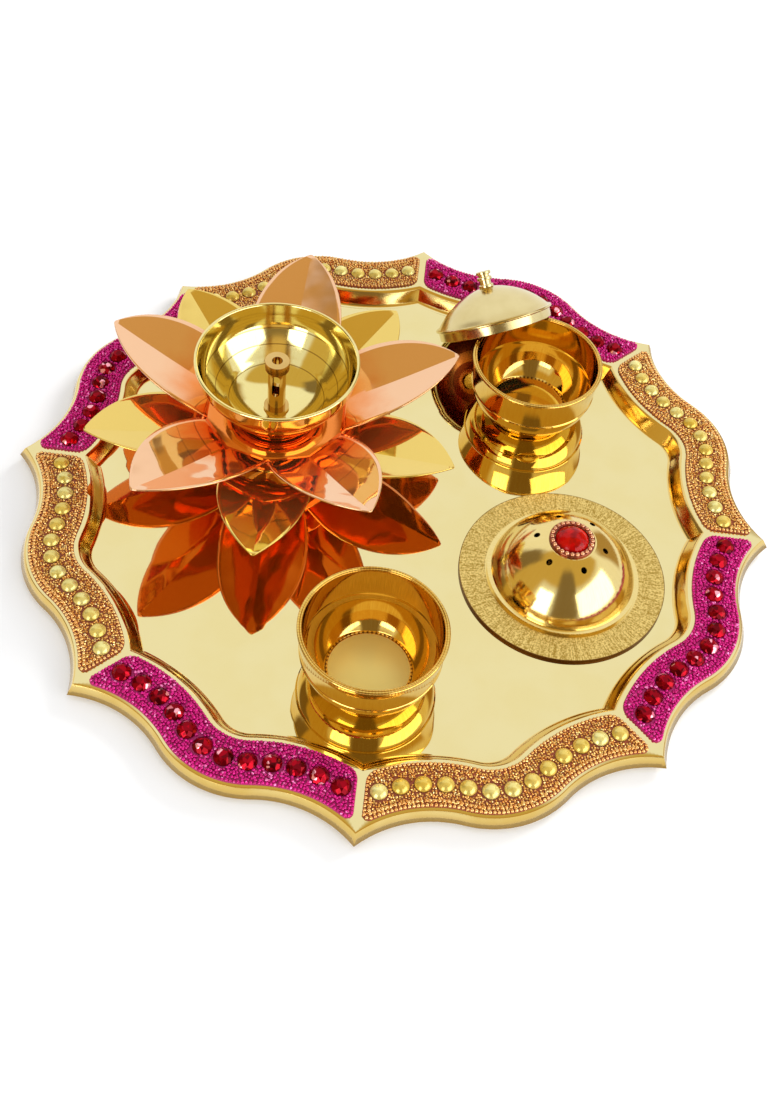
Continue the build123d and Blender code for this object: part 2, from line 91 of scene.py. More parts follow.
# %% A socket that does arithmetic
class Wire:
    """An output socket. Python's operators on it add Math nodes to its tree."""

    def __init__(self, socket):
        self.socket = socket

    def node(self, kind, settings=None, inputs=None, output=None):
        """Adds a node of a kind: its settings first, then the values or wires of its inputs."""
        tree = self.socket.id_data
        made = tree.nodes.new("ShaderNode" + kind)
        for name, setting in (settings or {}).items():
            setattr(made, name, setting)
        for name, value in (inputs or {}).items():
            if isinstance(name, int):
                into = made.inputs[name]
            else:
                shown = [socket for socket in made.inputs if socket.enabled]
                into = next(socket for socket in shown if socket.name == name)
            if isinstance(value, Wire):
                tree.links.new(value.socket, into)
            else:
                into.default_value = value
        given = [socket for socket in made.outputs if socket.enabled]
        return Wire(next(socket for socket in given if output in (None, socket.name)))

    def math(self, operation, *others):
        return self.node("Math", {"operation": operation}, dict(enumerate((self, *others))))

    def __add__(self, other):
        return self.math("ADD", other)

    def __sub__(self, other):
        return self.math("SUBTRACT", other)

    def __rsub__(self, other):
        return self.node("Math", {"operation": "SUBTRACT"}, {0: other, 1: self})

    def __mul__(self, other):
        return self.math("MULTIPLY", other)

    __radd__ = __add__
    __rmul__ = __mul__

    def axis(self, letter):
        """One of a vector's three numbers."""
        return self.node("SeparateXYZ", {}, {"Vector": self}, letter)

    def mix(self, low, high):
        """A colour between two colours, by this wire's value."""
        return self.node("Mix", {"data_type": "RGBA"}, {"Factor": self, "A": low, "B": high})

    def ramp(self, low, high):
        """0 below the first level, 1 above the second, smooth between."""
        levels = {"Value": self, "From Min": low, "From Max": high}
        return self.node("MapRange", {"interpolation_type": "SMOOTHSTEP"}, levels)


# %% [markdown]
# ## Studio
# The set stands on a plain white table in soft light. What polished metal shows is the room, so the
# room is planned like a drawing, which only mirrored rays see. It has a white back, a pale grey front,
# a warm ceiling, a warm wall on the left, a brown one behind on the right, and two dark columns that
# give every bowl its stripes: one on the left and a wider one behind the lens. A place in the room is
# given by its bearings and heights.

# %% The room
world = bpy.data.worlds.new("white_room")
scene.world = world
world.use_nodes = True
world.node_tree.nodes.clear()
tree = world.node_tree
room_output = tree.nodes.new("ShaderNodeOutputWorld")
direction = Wire(tree.nodes.new("ShaderNodeTexCoord").outputs["Generated"])
rays = tree.nodes.new("ShaderNodeLightPath").outputs
seen = Wire(rays["Is Camera Ray"])
mirrored = Wire(rays["Is Glossy Ray"]).math("MAXIMUM", Wire(rays["Is Transmission Ray"]))

height = direction.axis("Z")
bearing = direction.axis("X").math("ARCTAN2", 0 - direction.axis("Y"))

WHITE, GREY = (1, 1, 1, 1), (0.86, 0.86, 0.86, 1)
WARM, BROWN, DARK = (0.63, 0.44, 0.13, 1), (0.46, 0.30, 0.11, 1), (0.24, 0.17, 0.08, 1)
SOFT_EDGE = 4.0
LIGHT_LEVEL = 0.8


def sine(degrees):
    return math.sin(math.radians(degrees))


def room_place(left, right, low, high):
    """1 between two bearings and two heights in degrees, counted from the front, fading to 0."""
    edge = math.radians(SOFT_EDGE)
    side = bearing.ramp(math.radians(left) - edge, math.radians(left) + edge)
    other_side = 1 - bearing.ramp(math.radians(right) - edge, math.radians(right) + edge)
    bottom = height.ramp(sine(low - SOFT_EDGE), sine(low + SOFT_EDGE))
    top = 1 - height.ramp(sine(high - 2 * SOFT_EDGE), sine(high + 2 * SOFT_EDGE))
    return side * other_side * bottom * top


back = direction.axis("Y").ramp(-0.5, 0.3)
ceiling = height.ramp(0.62, 0.74) * (1 - direction.axis("Y").ramp(0.14, 0.24))
colour = back.mix(GREY, WHITE)
for zone, tint in (
    (ceiling, WARM),
    (room_place(-96, -46, -8, 52), WARM),
    (room_place(114, 150, -12, 38), BROWN),
    (room_place(-116, -88, 6, 54), DARK),
    (room_place(-12, 27, -20, 70), DARK),
):
    colour = zone.mix(colour, tint)
colour = mirrored.mix(WHITE, colour)
level = 1 - (1 - seen.math("MAXIMUM", mirrored)) * (1 - LIGHT_LEVEL)
room = direction.node("Background", {}, {"Color": colour, "Strength": level})
tree.links.new(room.socket, room_output.inputs["Surface"])
scene.view_settings.view_transform = "Standard"
print("room nodes:", len(tree.nodes))

# %% [markdown]
# ## Table
# A single large face is the table. It keeps the soft shadow near the tray, turns plain white further
# out, and is white to reflections.

# %% The table
def new_material(name):
    """An empty material, with its output node and its Object coordinates."""
    material = bpy.data.materials.new(name)
    material.use_nodes = True
    nodes = material.node_tree.nodes
    nodes.clear()
    output = nodes.new("ShaderNodeOutputMaterial")
    place = Wire(nodes.new("ShaderNodeTexCoord").outputs["Object"])
    return material, output, place


def finish_with(material, output, shader):
    material.node_tree.links.new(shader.socket, output.inputs["Surface"])
    return material


def mesh_from(name, shape):
    """Turns a bmesh into a mesh, and frees it."""
    mesh = bpy.data.meshes.new(name)
    shape.to_mesh(mesh)
    shape.free()
    return mesh


def object_from(name, shape, crease=180.0):
    """A finished object from a bmesh drawn in millimetres; edges over the crease angle stay sharp."""
    bmesh.ops.scale(shape, vec=(MM, MM, MM), verts=shape.verts)
    for edge in shape.edges:
        edge.smooth = edge.calc_face_angle(0.0) < math.radians(crease)
    for face in shape.faces:
        face.smooth = True
    return in_scene(name, mesh_from(name, shape))


TABLE_TONE = (0.93, 0.93, 0.93, 1)
TABLE_SIZE = 4000.0
NEAR_GLOW = 0.1

table_white, table_output, table_place = new_material("table_white")
rays = table_white.node_tree.nodes.new("ShaderNodeLightPath").outputs
plain = table_place.node("BsdfDiffuse", {}, {"Color": TABLE_TONE})
glow = table_place.node("Emission", {}, {"Strength": 1.0})
x, y = table_place.axis("X"), table_place.axis("Y")
far = (x * x + y * y).ramp(0.08, 0.60)
seen_glow = Wire(rays["Is Camera Ray"]) * (NEAR_GLOW + far * (1 - NEAR_GLOW))
glowing = Wire(rays["Is Glossy Ray"]).math("MAXIMUM", seen_glow)
finish_with(table_white, table_output, glowing.node("MixShader", {}, {0: glowing, 1: plain, 2: glow}))

shape = bmesh.new()
bmesh.ops.create_grid(shape, x_segments=1, y_segments=1, size=TABLE_SIZE)
table = object_from("table", shape)
table.data.materials.append(table_white)
print("table, m:", [round(side, 1) for side in table.dimensions])

# %% [markdown]
# ## Lamps
# One large soft lamp from behind on the right throws the shadow to the front left. Two low soft lamps
# beside the lens make the white windows in the bowls and the dome, with the dark column between them.
# The large lamp is kept out of the reflections, where it would be a third window.

# %% Soft lamps
def soft_lamp(name, place, width, height, power):
    """A rectangle of light that looks at the middle of the tray."""
    light = bpy.data.lights.new(name, "AREA")
    light.shape = "RECTANGLE"
    light.size, light.size_y, light.energy = width, height, power
    lamp = in_scene(name, light)
    turn = (-Vector(place)).to_track_quat("-Z", "Y").to_matrix().to_4x4()
    lamp.matrix_world = Matrix.Translation(place) @ turn
    lamp.visible_camera = False
    return lamp


key = soft_lamp("key_lamp", (1.1, 1.35, 0.78), 0.9, 0.6, 31)
key.visible_glossy = False
soft_lamp("left_lamp", (-0.50, -1.07, 0.38), 0.52, 0.74, 4.2)
soft_lamp("right_lamp", (1.0, -0.60, 0.42), 1.35, 0.80, 8.0)

# %% [markdown]
# ## Brass and copper
# Polished sheet metal is nearly a mirror: the colour comes from the metal and the picture from the
# room, except for the skirt's painted shade towards its foot. Wiping cloths leave faint streaks, so a
# stretched noise moves the roughness a little. The CAD nodes that stay in view get their finish here;
# the others are replaced further on.

# %% Metals
FOOT_LOW, FOOT_HIGH = 2.5 * MM, 6.4 * MM


def metal(name, colour, deep, roughness, streak=0.02, grain=0.0, foot_shade=None):
    """A polished metal whose tone and gloss drift a little, and which may have painted shade, darker
    towards its foot.
    """
    material, output, place = new_material(name)
    cloud = place.node("TexNoise", {}, {"Vector": place, "Scale": 45.0, "Detail": 3.0}, "Fac")
    stretched = place.node("Mapping", {}, {"Vector": place, "Scale": (900.0, 60.0, 60.0)})
    wiped = place.node("TexNoise", {}, {"Vector": stretched, "Scale": 1.0, "Detail": 2.0}, "Fac")
    tone = cloud.ramp(0.35, 0.65).mix((*colour, 1), (*deep, 1))
    # Painted shade: the colour turns darker and browner towards the foot of the piece.
    if foot_shade:
        tone = place.axis("Z").ramp(FOOT_LOW, FOOT_HIGH).mix((*foot_shade, 1), tone)
    shader = {"Base Color": tone, "Metallic": 1.0, "Roughness": roughness + wiped * streak}
    if grain:
        fine = place.node("TexNoise", {}, {"Vector": place, "Scale": 2500.0, "Detail": 2.0}, "Fac")
        bump = {"Strength": grain, "Distance": 0.0002, "Height": fine}
        shader["Normal"] = place.node("Bump", {}, bump)
    return finish_with(material, output, place.node("BsdfPrincipled", {}, shader))


tray_brass = metal("tray_brass", (0.84, 0.73, 0.37), (0.83, 0.71, 0.34), 0.02)
lamp_brass = metal("lamp_brass", (0.74, 0.50, 0.18), (0.64, 0.40, 0.12), 0.10)
lid_brass = metal("lid_brass", (0.80, 0.67, 0.34), (0.70, 0.56, 0.25), 0.16, 0.06)
rim_brass = metal("rim_brass", (0.84, 0.62, 0.23), (0.80, 0.56, 0.18), 0.06, 0.06, 0.1)
# The skirt's painted shade, brown towards its foot.
foot_shade_brown = (0.60, 0.35, 0.06)
edge_brass = metal("edge_brass", (0.86, 0.65, 0.24), (0.78, 0.54, 0.15), 0.10, 0.1, 0.1, foot_shade_brown)

own_finish = {"wick_holder": lamp_brass, "lid_rivet": lid_brass}
for name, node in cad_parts.items():
    node.data.materials.clear()
    node.data.materials.append(own_finish.get(name, tray_brass))
print("nodes with a finish of their own:", list(own_finish))

# %% [markdown]
# ## The rim's outline
# Eight round lobes meet in sharp tips. Each half lobe is two arcs that touch: the lobe itself, and the
# hollow beside the tip. A point swung about the arc's centre with the Spin operator draws either one,
# so the outline at any distance from the edge comes from the same two centres.

# %% Arcs of one lobe, drawn beside the +X axis
LOBES = 8
TIP_RADIUS = 150.0
CREST_RADIUS = 146.7
LOBE_RADIUS = 36.75
HOLLOW_SHARE = 0.714
FIRST_TIP_ANGLE = -90.0
HALF_SECTOR = 180.0 / LOBES
LEDGE_TOP = 7.0


def polar(radius, degrees):
    angle = math.radians(degrees)
    return Vector((radius * math.cos(angle), radius * math.sin(angle), 0))


lobe_centre = polar(CREST_RADIUS - LOBE_RADIUS, HALF_SECTOR)
lobe_to_tip = Vector((TIP_RADIUS, 0, 0)) - lobe_centre
hollow_radius = HOLLOW_SHARE * lobe_to_tip.length
reach = LOBE_RADIUS + hollow_radius
along = (reach**2 - hollow_radius**2 + lobe_to_tip.length**2) / (2 * lobe_to_tip.length)
across = math.sqrt(reach**2 - along**2)
toward_tip = lobe_to_tip.normalized()
beside = Vector((-toward_tip.y, toward_tip.x, 0))
hollow_centre = lobe_centre + toward_tip * along + beside * across


def hollow_point(inset, side):
    """Point of the inset hollow at a distance to the side of the tip's own line."""
    radius = hollow_radius + inset
    depth = math.sqrt(radius**2 - (hollow_centre.y - side) ** 2)
    return Vector((hollow_centre.x - depth, side, 0))


def swing(shape, pen, centre, goal, steps):
    """Draws an arc from a vertex round a centre until it points at the goal. Gives the new end."""
    start, finish = (pen.co - centre).xy, (goal - centre).xy
    angle = -start.angle_signed(finish)
    drawn = bmesh.ops.spin(shape, geom=[pen], cent=centre, axis=(0, 0, 1), angle=angle, steps=steps)
    return next(item for item in drawn["geom_last"] if isinstance(item, bmesh.types.BMVert))


def straight(shape, pen, goal):
    """Draws a straight edge from a vertex. Gives the new end."""
    drawn = bmesh.ops.extrude_vert_indiv(shape, verts=[pen])["verts"][0]
    drawn.co = goal
    return drawn


print("hollow radius, mm:", round(hollow_radius, 2))

# %% [markdown]
# ## Tray
# The tray is pressed from one sheet: a skirt, a flat ledge, a small lip, a sloping wall and a mirror
# floor. A section through the sheet, swung about the two arc centres, sweeps half a lobe. The tip's
# pinch is a cut with Bisect where two lobes meet; a mirror and seven turned copies finish the ring.
# The flat faces are the best polished, so the skirt and the slopes have metals of their own.

# %% Sweep the tray's sheet
TRAY_SECTION = [(-2.0, 2.5), (-0.3, 6.35), (0.0, 6.85), (0.35, 7.0), (19.3, 7.0), (19.8, 6.9)]
TRAY_SECTION += [(20.5, 6.35), (20.9, 5.95), (23.3, 2.2), (23.9, 1.35), (24.6, 1.05), (25.4, 1.0)]
SHEET_THICKNESS = 1.0
SKIRT_TOP = 6.9
FLOOR_EDGE_TOP = 1.1
FLAT_FACING = 0.97
PAST_TIP = math.radians(58)
AXIS = (0, 0, 1)
MIDDLE = (0, 0, 0)


def everything(shape):
    return shape.verts[:] + shape.edges[:] + shape.faces[:]


def tray_sheet():
    """The sheet's upper side as one open surface."""
    shape = bmesh.new()
    inward = (lobe_centre - hollow_centre).normalized()
    edge_point = lobe_centre - inward * LOBE_RADIUS
    places = [edge_point + inward * inset + Vector((0, 0, z)) for inset, z in TRAY_SECTION]
    verts = [shape.verts.new(place) for place in places]
    section = verts + [shape.edges.new(pair) for pair in zip(verts, verts[1:])]
    to_crest = math.radians(HALF_SECTOR) - math.atan2(-inward.y, -inward.x)
    bmesh.ops.spin(shape, geom=section, cent=lobe_centre, axis=AXIS, angle=to_crest, steps=20)
    bmesh.ops.spin(shape, geom=section, cent=hollow_centre, axis=AXIS, angle=PAST_TIP, steps=36)
    cut = {"plane_co": MIDDLE, "plane_no": (0, 1, 0), "clear_inner": True}
    bmesh.ops.bisect_plane(shape, geom=everything(shape), dist=1e-5, **cut)
    same = Matrix.Identity(4)
    bmesh.ops.mirror(shape, geom=everything(shape), matrix=same, merge_dist=1e-4, axis="Y")
    copies = {"angle": math.radians(2 * HALF_SECTOR * (LOBES - 1)), "steps": LOBES - 1}
    bmesh.ops.spin(shape, geom=everything(shape), cent=MIDDLE, axis=AXIS, use_duplicate=True, **copies)
    bmesh.ops.remove_doubles(shape, verts=shape.verts, dist=1e-3)
    border = [edge for edge in shape.edges if edge.is_boundary]
    floor_rim = [edge for edge in border if edge.verts[0].co.z < FLOOR_EDGE_TOP]
    bmesh.ops.contextual_create(shape, geom=floor_rim)
    first_tip = Matrix.Rotation(math.radians(FIRST_TIP_ANGLE), 3, "Z")
    bmesh.ops.rotate(shape, verts=shape.verts, cent=MIDDLE, matrix=first_tip)
    bmesh.ops.recalc_face_normals(shape, faces=shape.faces)
    floor = max(shape.faces, key=lambda face: face.calc_area())
    if floor.normal.z < 0:
        bmesh.ops.reverse_faces(shape, faces=shape.faces)
    for face in shape.faces:
        middle = face.calc_center_median()
        outward = face.normal.dot(Vector((middle.x, middle.y, 0)).normalized())
        if outward > 0.1 and middle.z < SKIRT_TOP:
            face.material_index = 1
        elif face.normal.z < FLAT_FACING:
            face.material_index = 2
    return shape


tray = object_from("tray_sheet", tray_sheet(), 32)
thickness = tray.modifiers.new("sheet", "SOLIDIFY")
thickness.thickness, thickness.offset = SHEET_THICKNESS * MM, -1.0
thickness.use_even_offset = True
for finish in (tray_brass, edge_brass, rim_brass):
    tray.data.materials.append(finish)
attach(tray, "tray")
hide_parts("tray")
print("tray faces:", len(tray.data.polygons))

# %% [markdown]
# ## Rim panels
# Each lobe's ledge carries a jewelled panel: a glued bed, rows of beads that follow its edge, and a
# row of stones. A panel's outline is drawn with the same arcs, with a round corner at each end. Drawn
# again further in, it is the path of the next row of beads.

# %% A panel's outline at any margin
PANEL_MARGIN = 1.0
PANEL_WIDTH = 17.4
PANEL_END_GAP = 1.3
OUTER_CORNER = 2.5
INNER_CORNER = 6.0
LEAST_CORNER = 0.3


def panel_outline(margin, lobe, height):
    """Closed loop of edges: one panel's outline drawn in by a margin, on the lobe's ledge."""
    shape = bmesh.new()
    outer = PANEL_MARGIN + margin
    inner = PANEL_MARGIN + PANEL_WIDTH - margin
    end = PANEL_END_GAP + margin
    crest = polar(CREST_RADIUS, HALF_SECTOR)
    outer_corner = max(OUTER_CORNER - margin, LEAST_CORNER)
    inner_corner = max(INNER_CORNER - margin, LEAST_CORNER)
    outer_centre = hollow_point(outer + outer_corner, end + outer_corner)
    inner_centre = hollow_point(inner - inner_corner, end + inner_corner)
    down = Vector((0, -1, 0))
    pen = shape.verts.new(polar(CREST_RADIUS - outer, HALF_SECTOR))
    pen = swing(shape, pen, lobe_centre, hollow_centre, 16)
    pen = swing(shape, pen, hollow_centre, outer_centre, 16)
    pen = swing(shape, pen, outer_centre, outer_centre + down, 6)
    pen = straight(shape, pen, inner_centre + down * inner_corner)
    pen = swing(shape, pen, inner_centre, inner_centre * 2 - hollow_centre, 8)
    pen = swing(shape, pen, hollow_centre, lobe_centre, 16)
    swing(shape, pen, lobe_centre, crest, 16)
    to_crest = Matrix.Rotation(math.radians(-HALF_SECTOR), 3, "Z")
    bmesh.ops.rotate(shape, verts=shape.verts, cent=MIDDLE, matrix=to_crest)
    same = Matrix.Identity(4)
    bmesh.ops.mirror(shape, geom=everything(shape), matrix=same, merge_dist=1e-3, axis="Y")
    bmesh.ops.remove_doubles(shape, verts=shape.verts, dist=1e-3)
    lobe_angle = math.radians(FIRST_TIP_ANGLE + HALF_SECTOR * (2 * lobe + 1))
    to_lobe = Matrix.Rotation(lobe_angle, 3, "Z")
    bmesh.ops.rotate(shape, verts=shape.verts, cent=MIDDLE, matrix=to_lobe)
    bmesh.ops.translate(shape, verts=shape.verts, vec=(0, 0, height))
    return shape


# %% Places along an outline
def spaced_places(shape, spacing):
    """Evenly spaced points round a closed loop of edges."""
    shape.verts.ensure_lookup_table()
    start = shape.verts[0]
    ring, edge = [start], start.link_edges[0]
    while edge.other_vert(ring[-1]) is not start:
        ring.append(edge.other_vert(ring[-1]))
        edge = next(other for other in ring[-1].link_edges if other is not edge)
    points = [vert.co.copy() for vert in ring + [start]]
    shape.free()
    length = sum((b - a).length for a, b in zip(points, points[1:]))
    pitch = length / round(length / spacing)
    places, travelled = [], 0.0
    for a, b in zip(points, points[1:]):
        run = (b - a).length
        while len(places) * pitch < travelled + run - 1e-6:
            places.append(a.lerp(b, (len(places) * pitch - travelled) / run))
        travelled += run
    return places


first_row = spaced_places(panel_outline(0.8, 0, LEDGE_TOP), 1.55)
print("places in a first row:", len(first_row))

# %% [markdown]
# ## Beads and granules
# Hundreds of beads share one small mesh of a few dozen faces, cut flat below where it sinks into the
# glue. Each stamp of it gets a random tone, kept in an attribute, so that no two beads match quite.

# %% Small shapes
SUNK_SHARE = 0.55


def bead_mesh(name, rings, segments, radius):
    """A low round bead with its hidden underside cut off."""
    shape = bmesh.new()
    bmesh.ops.create_uvsphere(shape, u_segments=segments, v_segments=rings, radius=radius)
    cut = {"plane_co": (0, 0, -radius * SUNK_SHARE), "plane_no": AXIS, "clear_inner": True}
    bmesh.ops.bisect_plane(shape, geom=everything(shape), **cut)
    for face in shape.faces:
        face.smooth = True
    return mesh_from(name, shape)


def granule_mesh(name, radius):
    """A crumb with flat sides."""
    shape = bmesh.new()
    bmesh.ops.create_icosphere(shape, subdivisions=1, radius=radius)
    return mesh_from(name, shape)


round_bead = bead_mesh("round_bead", 5, 8, 0.72)
seed_bead = bead_mesh("seed_bead", 5, 7, 0.66)
granule = granule_mesh("granule", 0.48)
print("faces in a bead:", len(round_bead.polygons))

# %% Stamp them
def stamped_shape():
    """An empty bmesh whose stamps can each have a tone."""
    shape = bmesh.new()
    shape.verts.layers.float.new("tone")
    return shape


def stamp(shape, mesh, place, tone):
    """Adds a copy of a small mesh, moved by a matrix, with its own tone."""
    first = len(shape.verts)
    shape.from_mesh(mesh)
    layer = shape.verts.layers.float["tone"]
    for vert in shape.verts[first:]:
        vert.co = place @ vert.co
        vert[layer] = tone


def stamped_object(name, shape):
    """An object of stamped copies, which keep their own smooth or flat faces."""
    bmesh.ops.scale(shape, vec=(MM, MM, MM), verts=shape.verts)
    return in_scene(name, mesh_from(name, shape))


# %% [markdown]
# ## Finishes of the beads
# Seed beads are dyed glass, and the copper beads and gold granules lacquered metal. Their base colour
# follows each bead's tone. The cells of a Voronoi texture are a little smaller than a bead, and the few
# that are made pale are painted glints. The glue under them is a dull dark tone of the same colour.

# %% Bead finishes
def bead_finish(name, dark, light, metallic, roughness, coat=0.0, painted_glint=None):
    """A bead's finish: colour by its own tone, perhaps with a clear coat and a few painted glints."""
    material, output, place = new_material(name)
    tone = place.node("Attribute", {"attribute_name": "tone"}, {}, "Fac")
    cloud = place.node("TexNoise", {}, {"Vector": place, "Scale": 700.0, "Detail": 2.0}, "Fac")
    colour = (tone * 0.8 + cloud * 0.4 - 0.1).mix((*dark, 1), (*light, 1))
    if painted_glint:
        # Painted glints: a few Voronoi cells, smaller than a bead, turn pale.
        cell = place.node("TexVoronoi", {}, {"Vector": place, "Scale": 1100.0}, "Color").axis("X")
        colour = cell.ramp(0.92, 0.96).mix(colour, (*painted_glint, 1))
    shader = {
        "Base Color": colour,
        "Metallic": metallic,
        "Roughness": roughness + cloud * 0.1,
        "Coat Weight": coat,
        "Coat Roughness": 0.03,
    }
    return finish_with(material, output, place.node("BsdfPrincipled", {}, shader))


# Colours of the painted glints.
painted_glint_lilac, painted_glint_straw = (1.0, 0.30, 0.68), (1.0, 0.86, 0.45)
magenta_tones = ((0.46, 0.001, 0.14), (0.80, 0.008, 0.31))
magenta_glass = bead_finish("magenta_glass", *magenta_tones, 0.5, 0.14, 0.2, painted_glint_lilac)
magenta_glue = bead_finish("magenta_glue", (0.38, 0.001, 0.11), (0.52, 0.004, 0.19), 0.0, 0.4)
copper_bead = bead_finish("copper_bead", (0.84, 0.42, 0.13), (1.0, 0.72, 0.32), 0.9, 0.14)
granule_tones = ((0.82, 0.36, 0.09), (1.0, 0.74, 0.27))
gold_granule = bead_finish("gold_granule", *granule_tones, 0.85, 0.16, 0.0, painted_glint_straw)
gold_glue = bead_finish("gold_glue", (0.25, 0.045, 0.012), (0.38, 0.09, 0.02), 0.0, 0.5)
print("finishes so far:", len(bpy.data.materials))

# %% [markdown]
# ## Stones
# The gold panels carry pearly yellow domes and the red ones faceted red stones. A dome is a ball cut
# low and flattened. A faceted stone is the convex hull of four rings of points, which is how a cutter
# sees it: a girdle, two rows of facets and a table.

# %% Stone meshes
CABOCHON_SIZE = 6.4
CABOCHON_HEIGHT = 2.2
RHINESTONE_SIZE = 7.2
RHINESTONE_HEIGHT = 2.3
# Each ring of a cut stone: share of the size, share of the height, points, turn in degrees.
FACET_RINGS = [(1.0, 0.0, 16, 0), (1.0, 0.18, 16, 0), (0.80, 0.62, 8, 22.5), (0.50, 1.0, 8, 0)]


def dome_mesh(name, size, height):
    """Cap of a ball, closed below."""
    shape = bmesh.new()
    radius = (size**2 / 4 + height**2) / (2 * height)
    bmesh.ops.create_uvsphere(shape, u_segments=28, v_segments=26, radius=radius)
    bmesh.ops.translate(shape, verts=shape.verts, vec=(0, 0, height - radius))
    cut = {"plane_co": MIDDLE, "plane_no": AXIS, "clear_inner": True}
    bmesh.ops.bisect_plane(shape, geom=everything(shape), **cut)
    rim = [edge for edge in shape.edges if edge.is_boundary]
    bmesh.ops.contextual_create(shape, geom=rim)
    bmesh.ops.recalc_face_normals(shape, faces=shape.faces)
    for face in shape.faces:
        face.smooth = len(face.verts) < 5
    return mesh_from(name, shape)


def faceted_mesh(name, size, height):
    """Cut stone: girdle, crown facets and table."""
    shape = bmesh.new()
    for share, lift, segments, turn in FACET_RINGS:
        turned = Matrix.Rotation(math.radians(turn), 4, "Z")
        at = Matrix.Translation((0, 0, height * lift)) @ turned
        bmesh.ops.create_circle(shape, segments=segments, radius=size / 2 * share, matrix=at)
    bmesh.ops.convex_hull(shape, input=shape.verts)
    bmesh.ops.dissolve_limit(shape, angle_limit=0.02, verts=shape.verts, edges=shape.edges)
    bmesh.ops.recalc_face_normals(shape, faces=shape.faces)
    return mesh_from(name, shape)


cabochon = dome_mesh("cabochon", CABOCHON_SIZE, CABOCHON_HEIGHT)
rhinestone = faceted_mesh("rhinestone", RHINESTONE_SIZE, RHINESTONE_HEIGHT)
print("facets of a stone:", len(rhinestone.polygons))

# %% Places of the stones
CABOCHON_COUNT = 13
RHINESTONE_COUNT = 12
STONE_END_GAP = 0.3
BORDER_WIDTH = 1.5
BED_HEIGHT = 0.8


def stone_places(size, count, lobe):
    """Places of the stones along the middle of a panel, from border to border."""
    shape = bmesh.new()
    inset = PANEL_MARGIN + PANEL_WIDTH / 2
    end = hollow_point(inset, PANEL_END_GAP + BORDER_WIDTH + STONE_END_GAP + size / 2)
    pen = shape.verts.new(polar(CREST_RADIUS - inset, HALF_SECTOR))
    pen = swing(shape, pen, lobe_centre, hollow_centre, 40)
    swing(shape, pen, hollow_centre, end, 40)
    points = [vert.co.copy() for vert in shape.verts]
    shape.free()
    length = sum((b - a).length for a, b in zip(points, points[1:]))
    places = []
    for index in range(count):
        goal = abs(index / (count - 1) - 0.5) * 2 * length
        travelled = 0.0
        for a, b in zip(points, points[1:]):
            run = (b - a).length
            if goal <= travelled + run + 1e-6:
                break
            travelled += run
        place = a.lerp(b, (goal - travelled) / run)
        if index > (count - 1) / 2:
            angle = math.degrees(math.atan2(place.y, place.x))
            place = polar(place.length, 2 * HALF_SECTOR - angle)
        turn = Matrix.Rotation(math.radians(FIRST_TIP_ANGLE + 2 * HALF_SECTOR * lobe), 3, "Z")
        places.append(turn @ place + Vector((0, 0, LEDGE_TOP + BED_HEIGHT)))
    return places


pair = stone_places(CABOCHON_SIZE, CABOCHON_COUNT, 0)[:2]
print("from stone to stone, mm:", round((pair[1] - pair[0]).length, 2))

# %% [markdown]
# ## Stone finishes
# The red stones are glass over foil. Real facets behind the glass would cost many faces, so the cells
# of a Voronoi texture stand for them as painted reflections, most of them dark to bright red and a few
# nearly white as painted highlights. The yellow stones are pearly, with soft darker clouds under a thin
# coat.

# %% Stone finishes
def foil_finish():
    """Glass over foil: the cells of a Voronoi texture are painted reflections of the facets seen
    through the stone.
    """
    material, output, place = new_material("foil_red")
    tone = place.node("Attribute", {"attribute_name": "tone"}, {}, "Fac")
    facet = place.node("TexVoronoi", {}, {"Vector": place, "Scale": 520.0}, "Color").axis("X")
    # Painted reflections: each cell is dark to bright red, and the nearly white ones are painted
    # highlights.
    body = (facet * 0.8 + tone * 0.2).mix((0.05, 0.0, 0.002, 1), (0.50, 0.0, 0.012, 1))
    shader = {
        "Base Color": facet.ramp(0.93, 0.95).mix(body, (1.0, 0.42, 0.50, 1)),
        "Metallic": 0.7,
        "Roughness": 0.05 + facet * 0.03,
        "Specular IOR Level": 0.2,
    }
    return finish_with(material, output, place.node("BsdfPrincipled", {}, shader))


def pearl_finish():
    """Pearly lacquer, with a tone of its own for each stone."""
    material, output, place = new_material("pearl_yellow")
    tone = place.node("Attribute", {"attribute_name": "tone"}, {}, "Fac")
    cloud = place.node("TexNoise", {}, {"Vector": place, "Scale": 350.0, "Detail": 3.0}, "Fac")
    body = tone.mix((0.72, 0.49, 0.06, 1), (0.84, 0.78, 0.30, 1))
    shader = {
        "Base Color": cloud.ramp(0.45, 0.75).mix(body, (0.58, 0.42, 0.06, 1)),
        "Metallic": 0.45,
        "Roughness": 0.16 + cloud * 0.15,
        "Coat Weight": 0.4,
        "Coat Roughness": 0.05,
    }
    return finish_with(material, output, place.node("BsdfPrincipled", {}, shader))


foil_red, pearl_yellow = foil_finish(), pearl_finish()
print("stone finishes:", foil_red.name, pearl_yellow.name)

# %% [markdown]
# ## Dress the panels
# Each panel gets a bed, rows of beads and a row of stones. A bead that would sit under a stone is
# left out. The rows of granules wander, because they were sprinkled and not strung.

# %% A panel's bed of glue
BED_INSET = 0.15
BED_DIP = 0.15
BED_BEVEL = 0.35


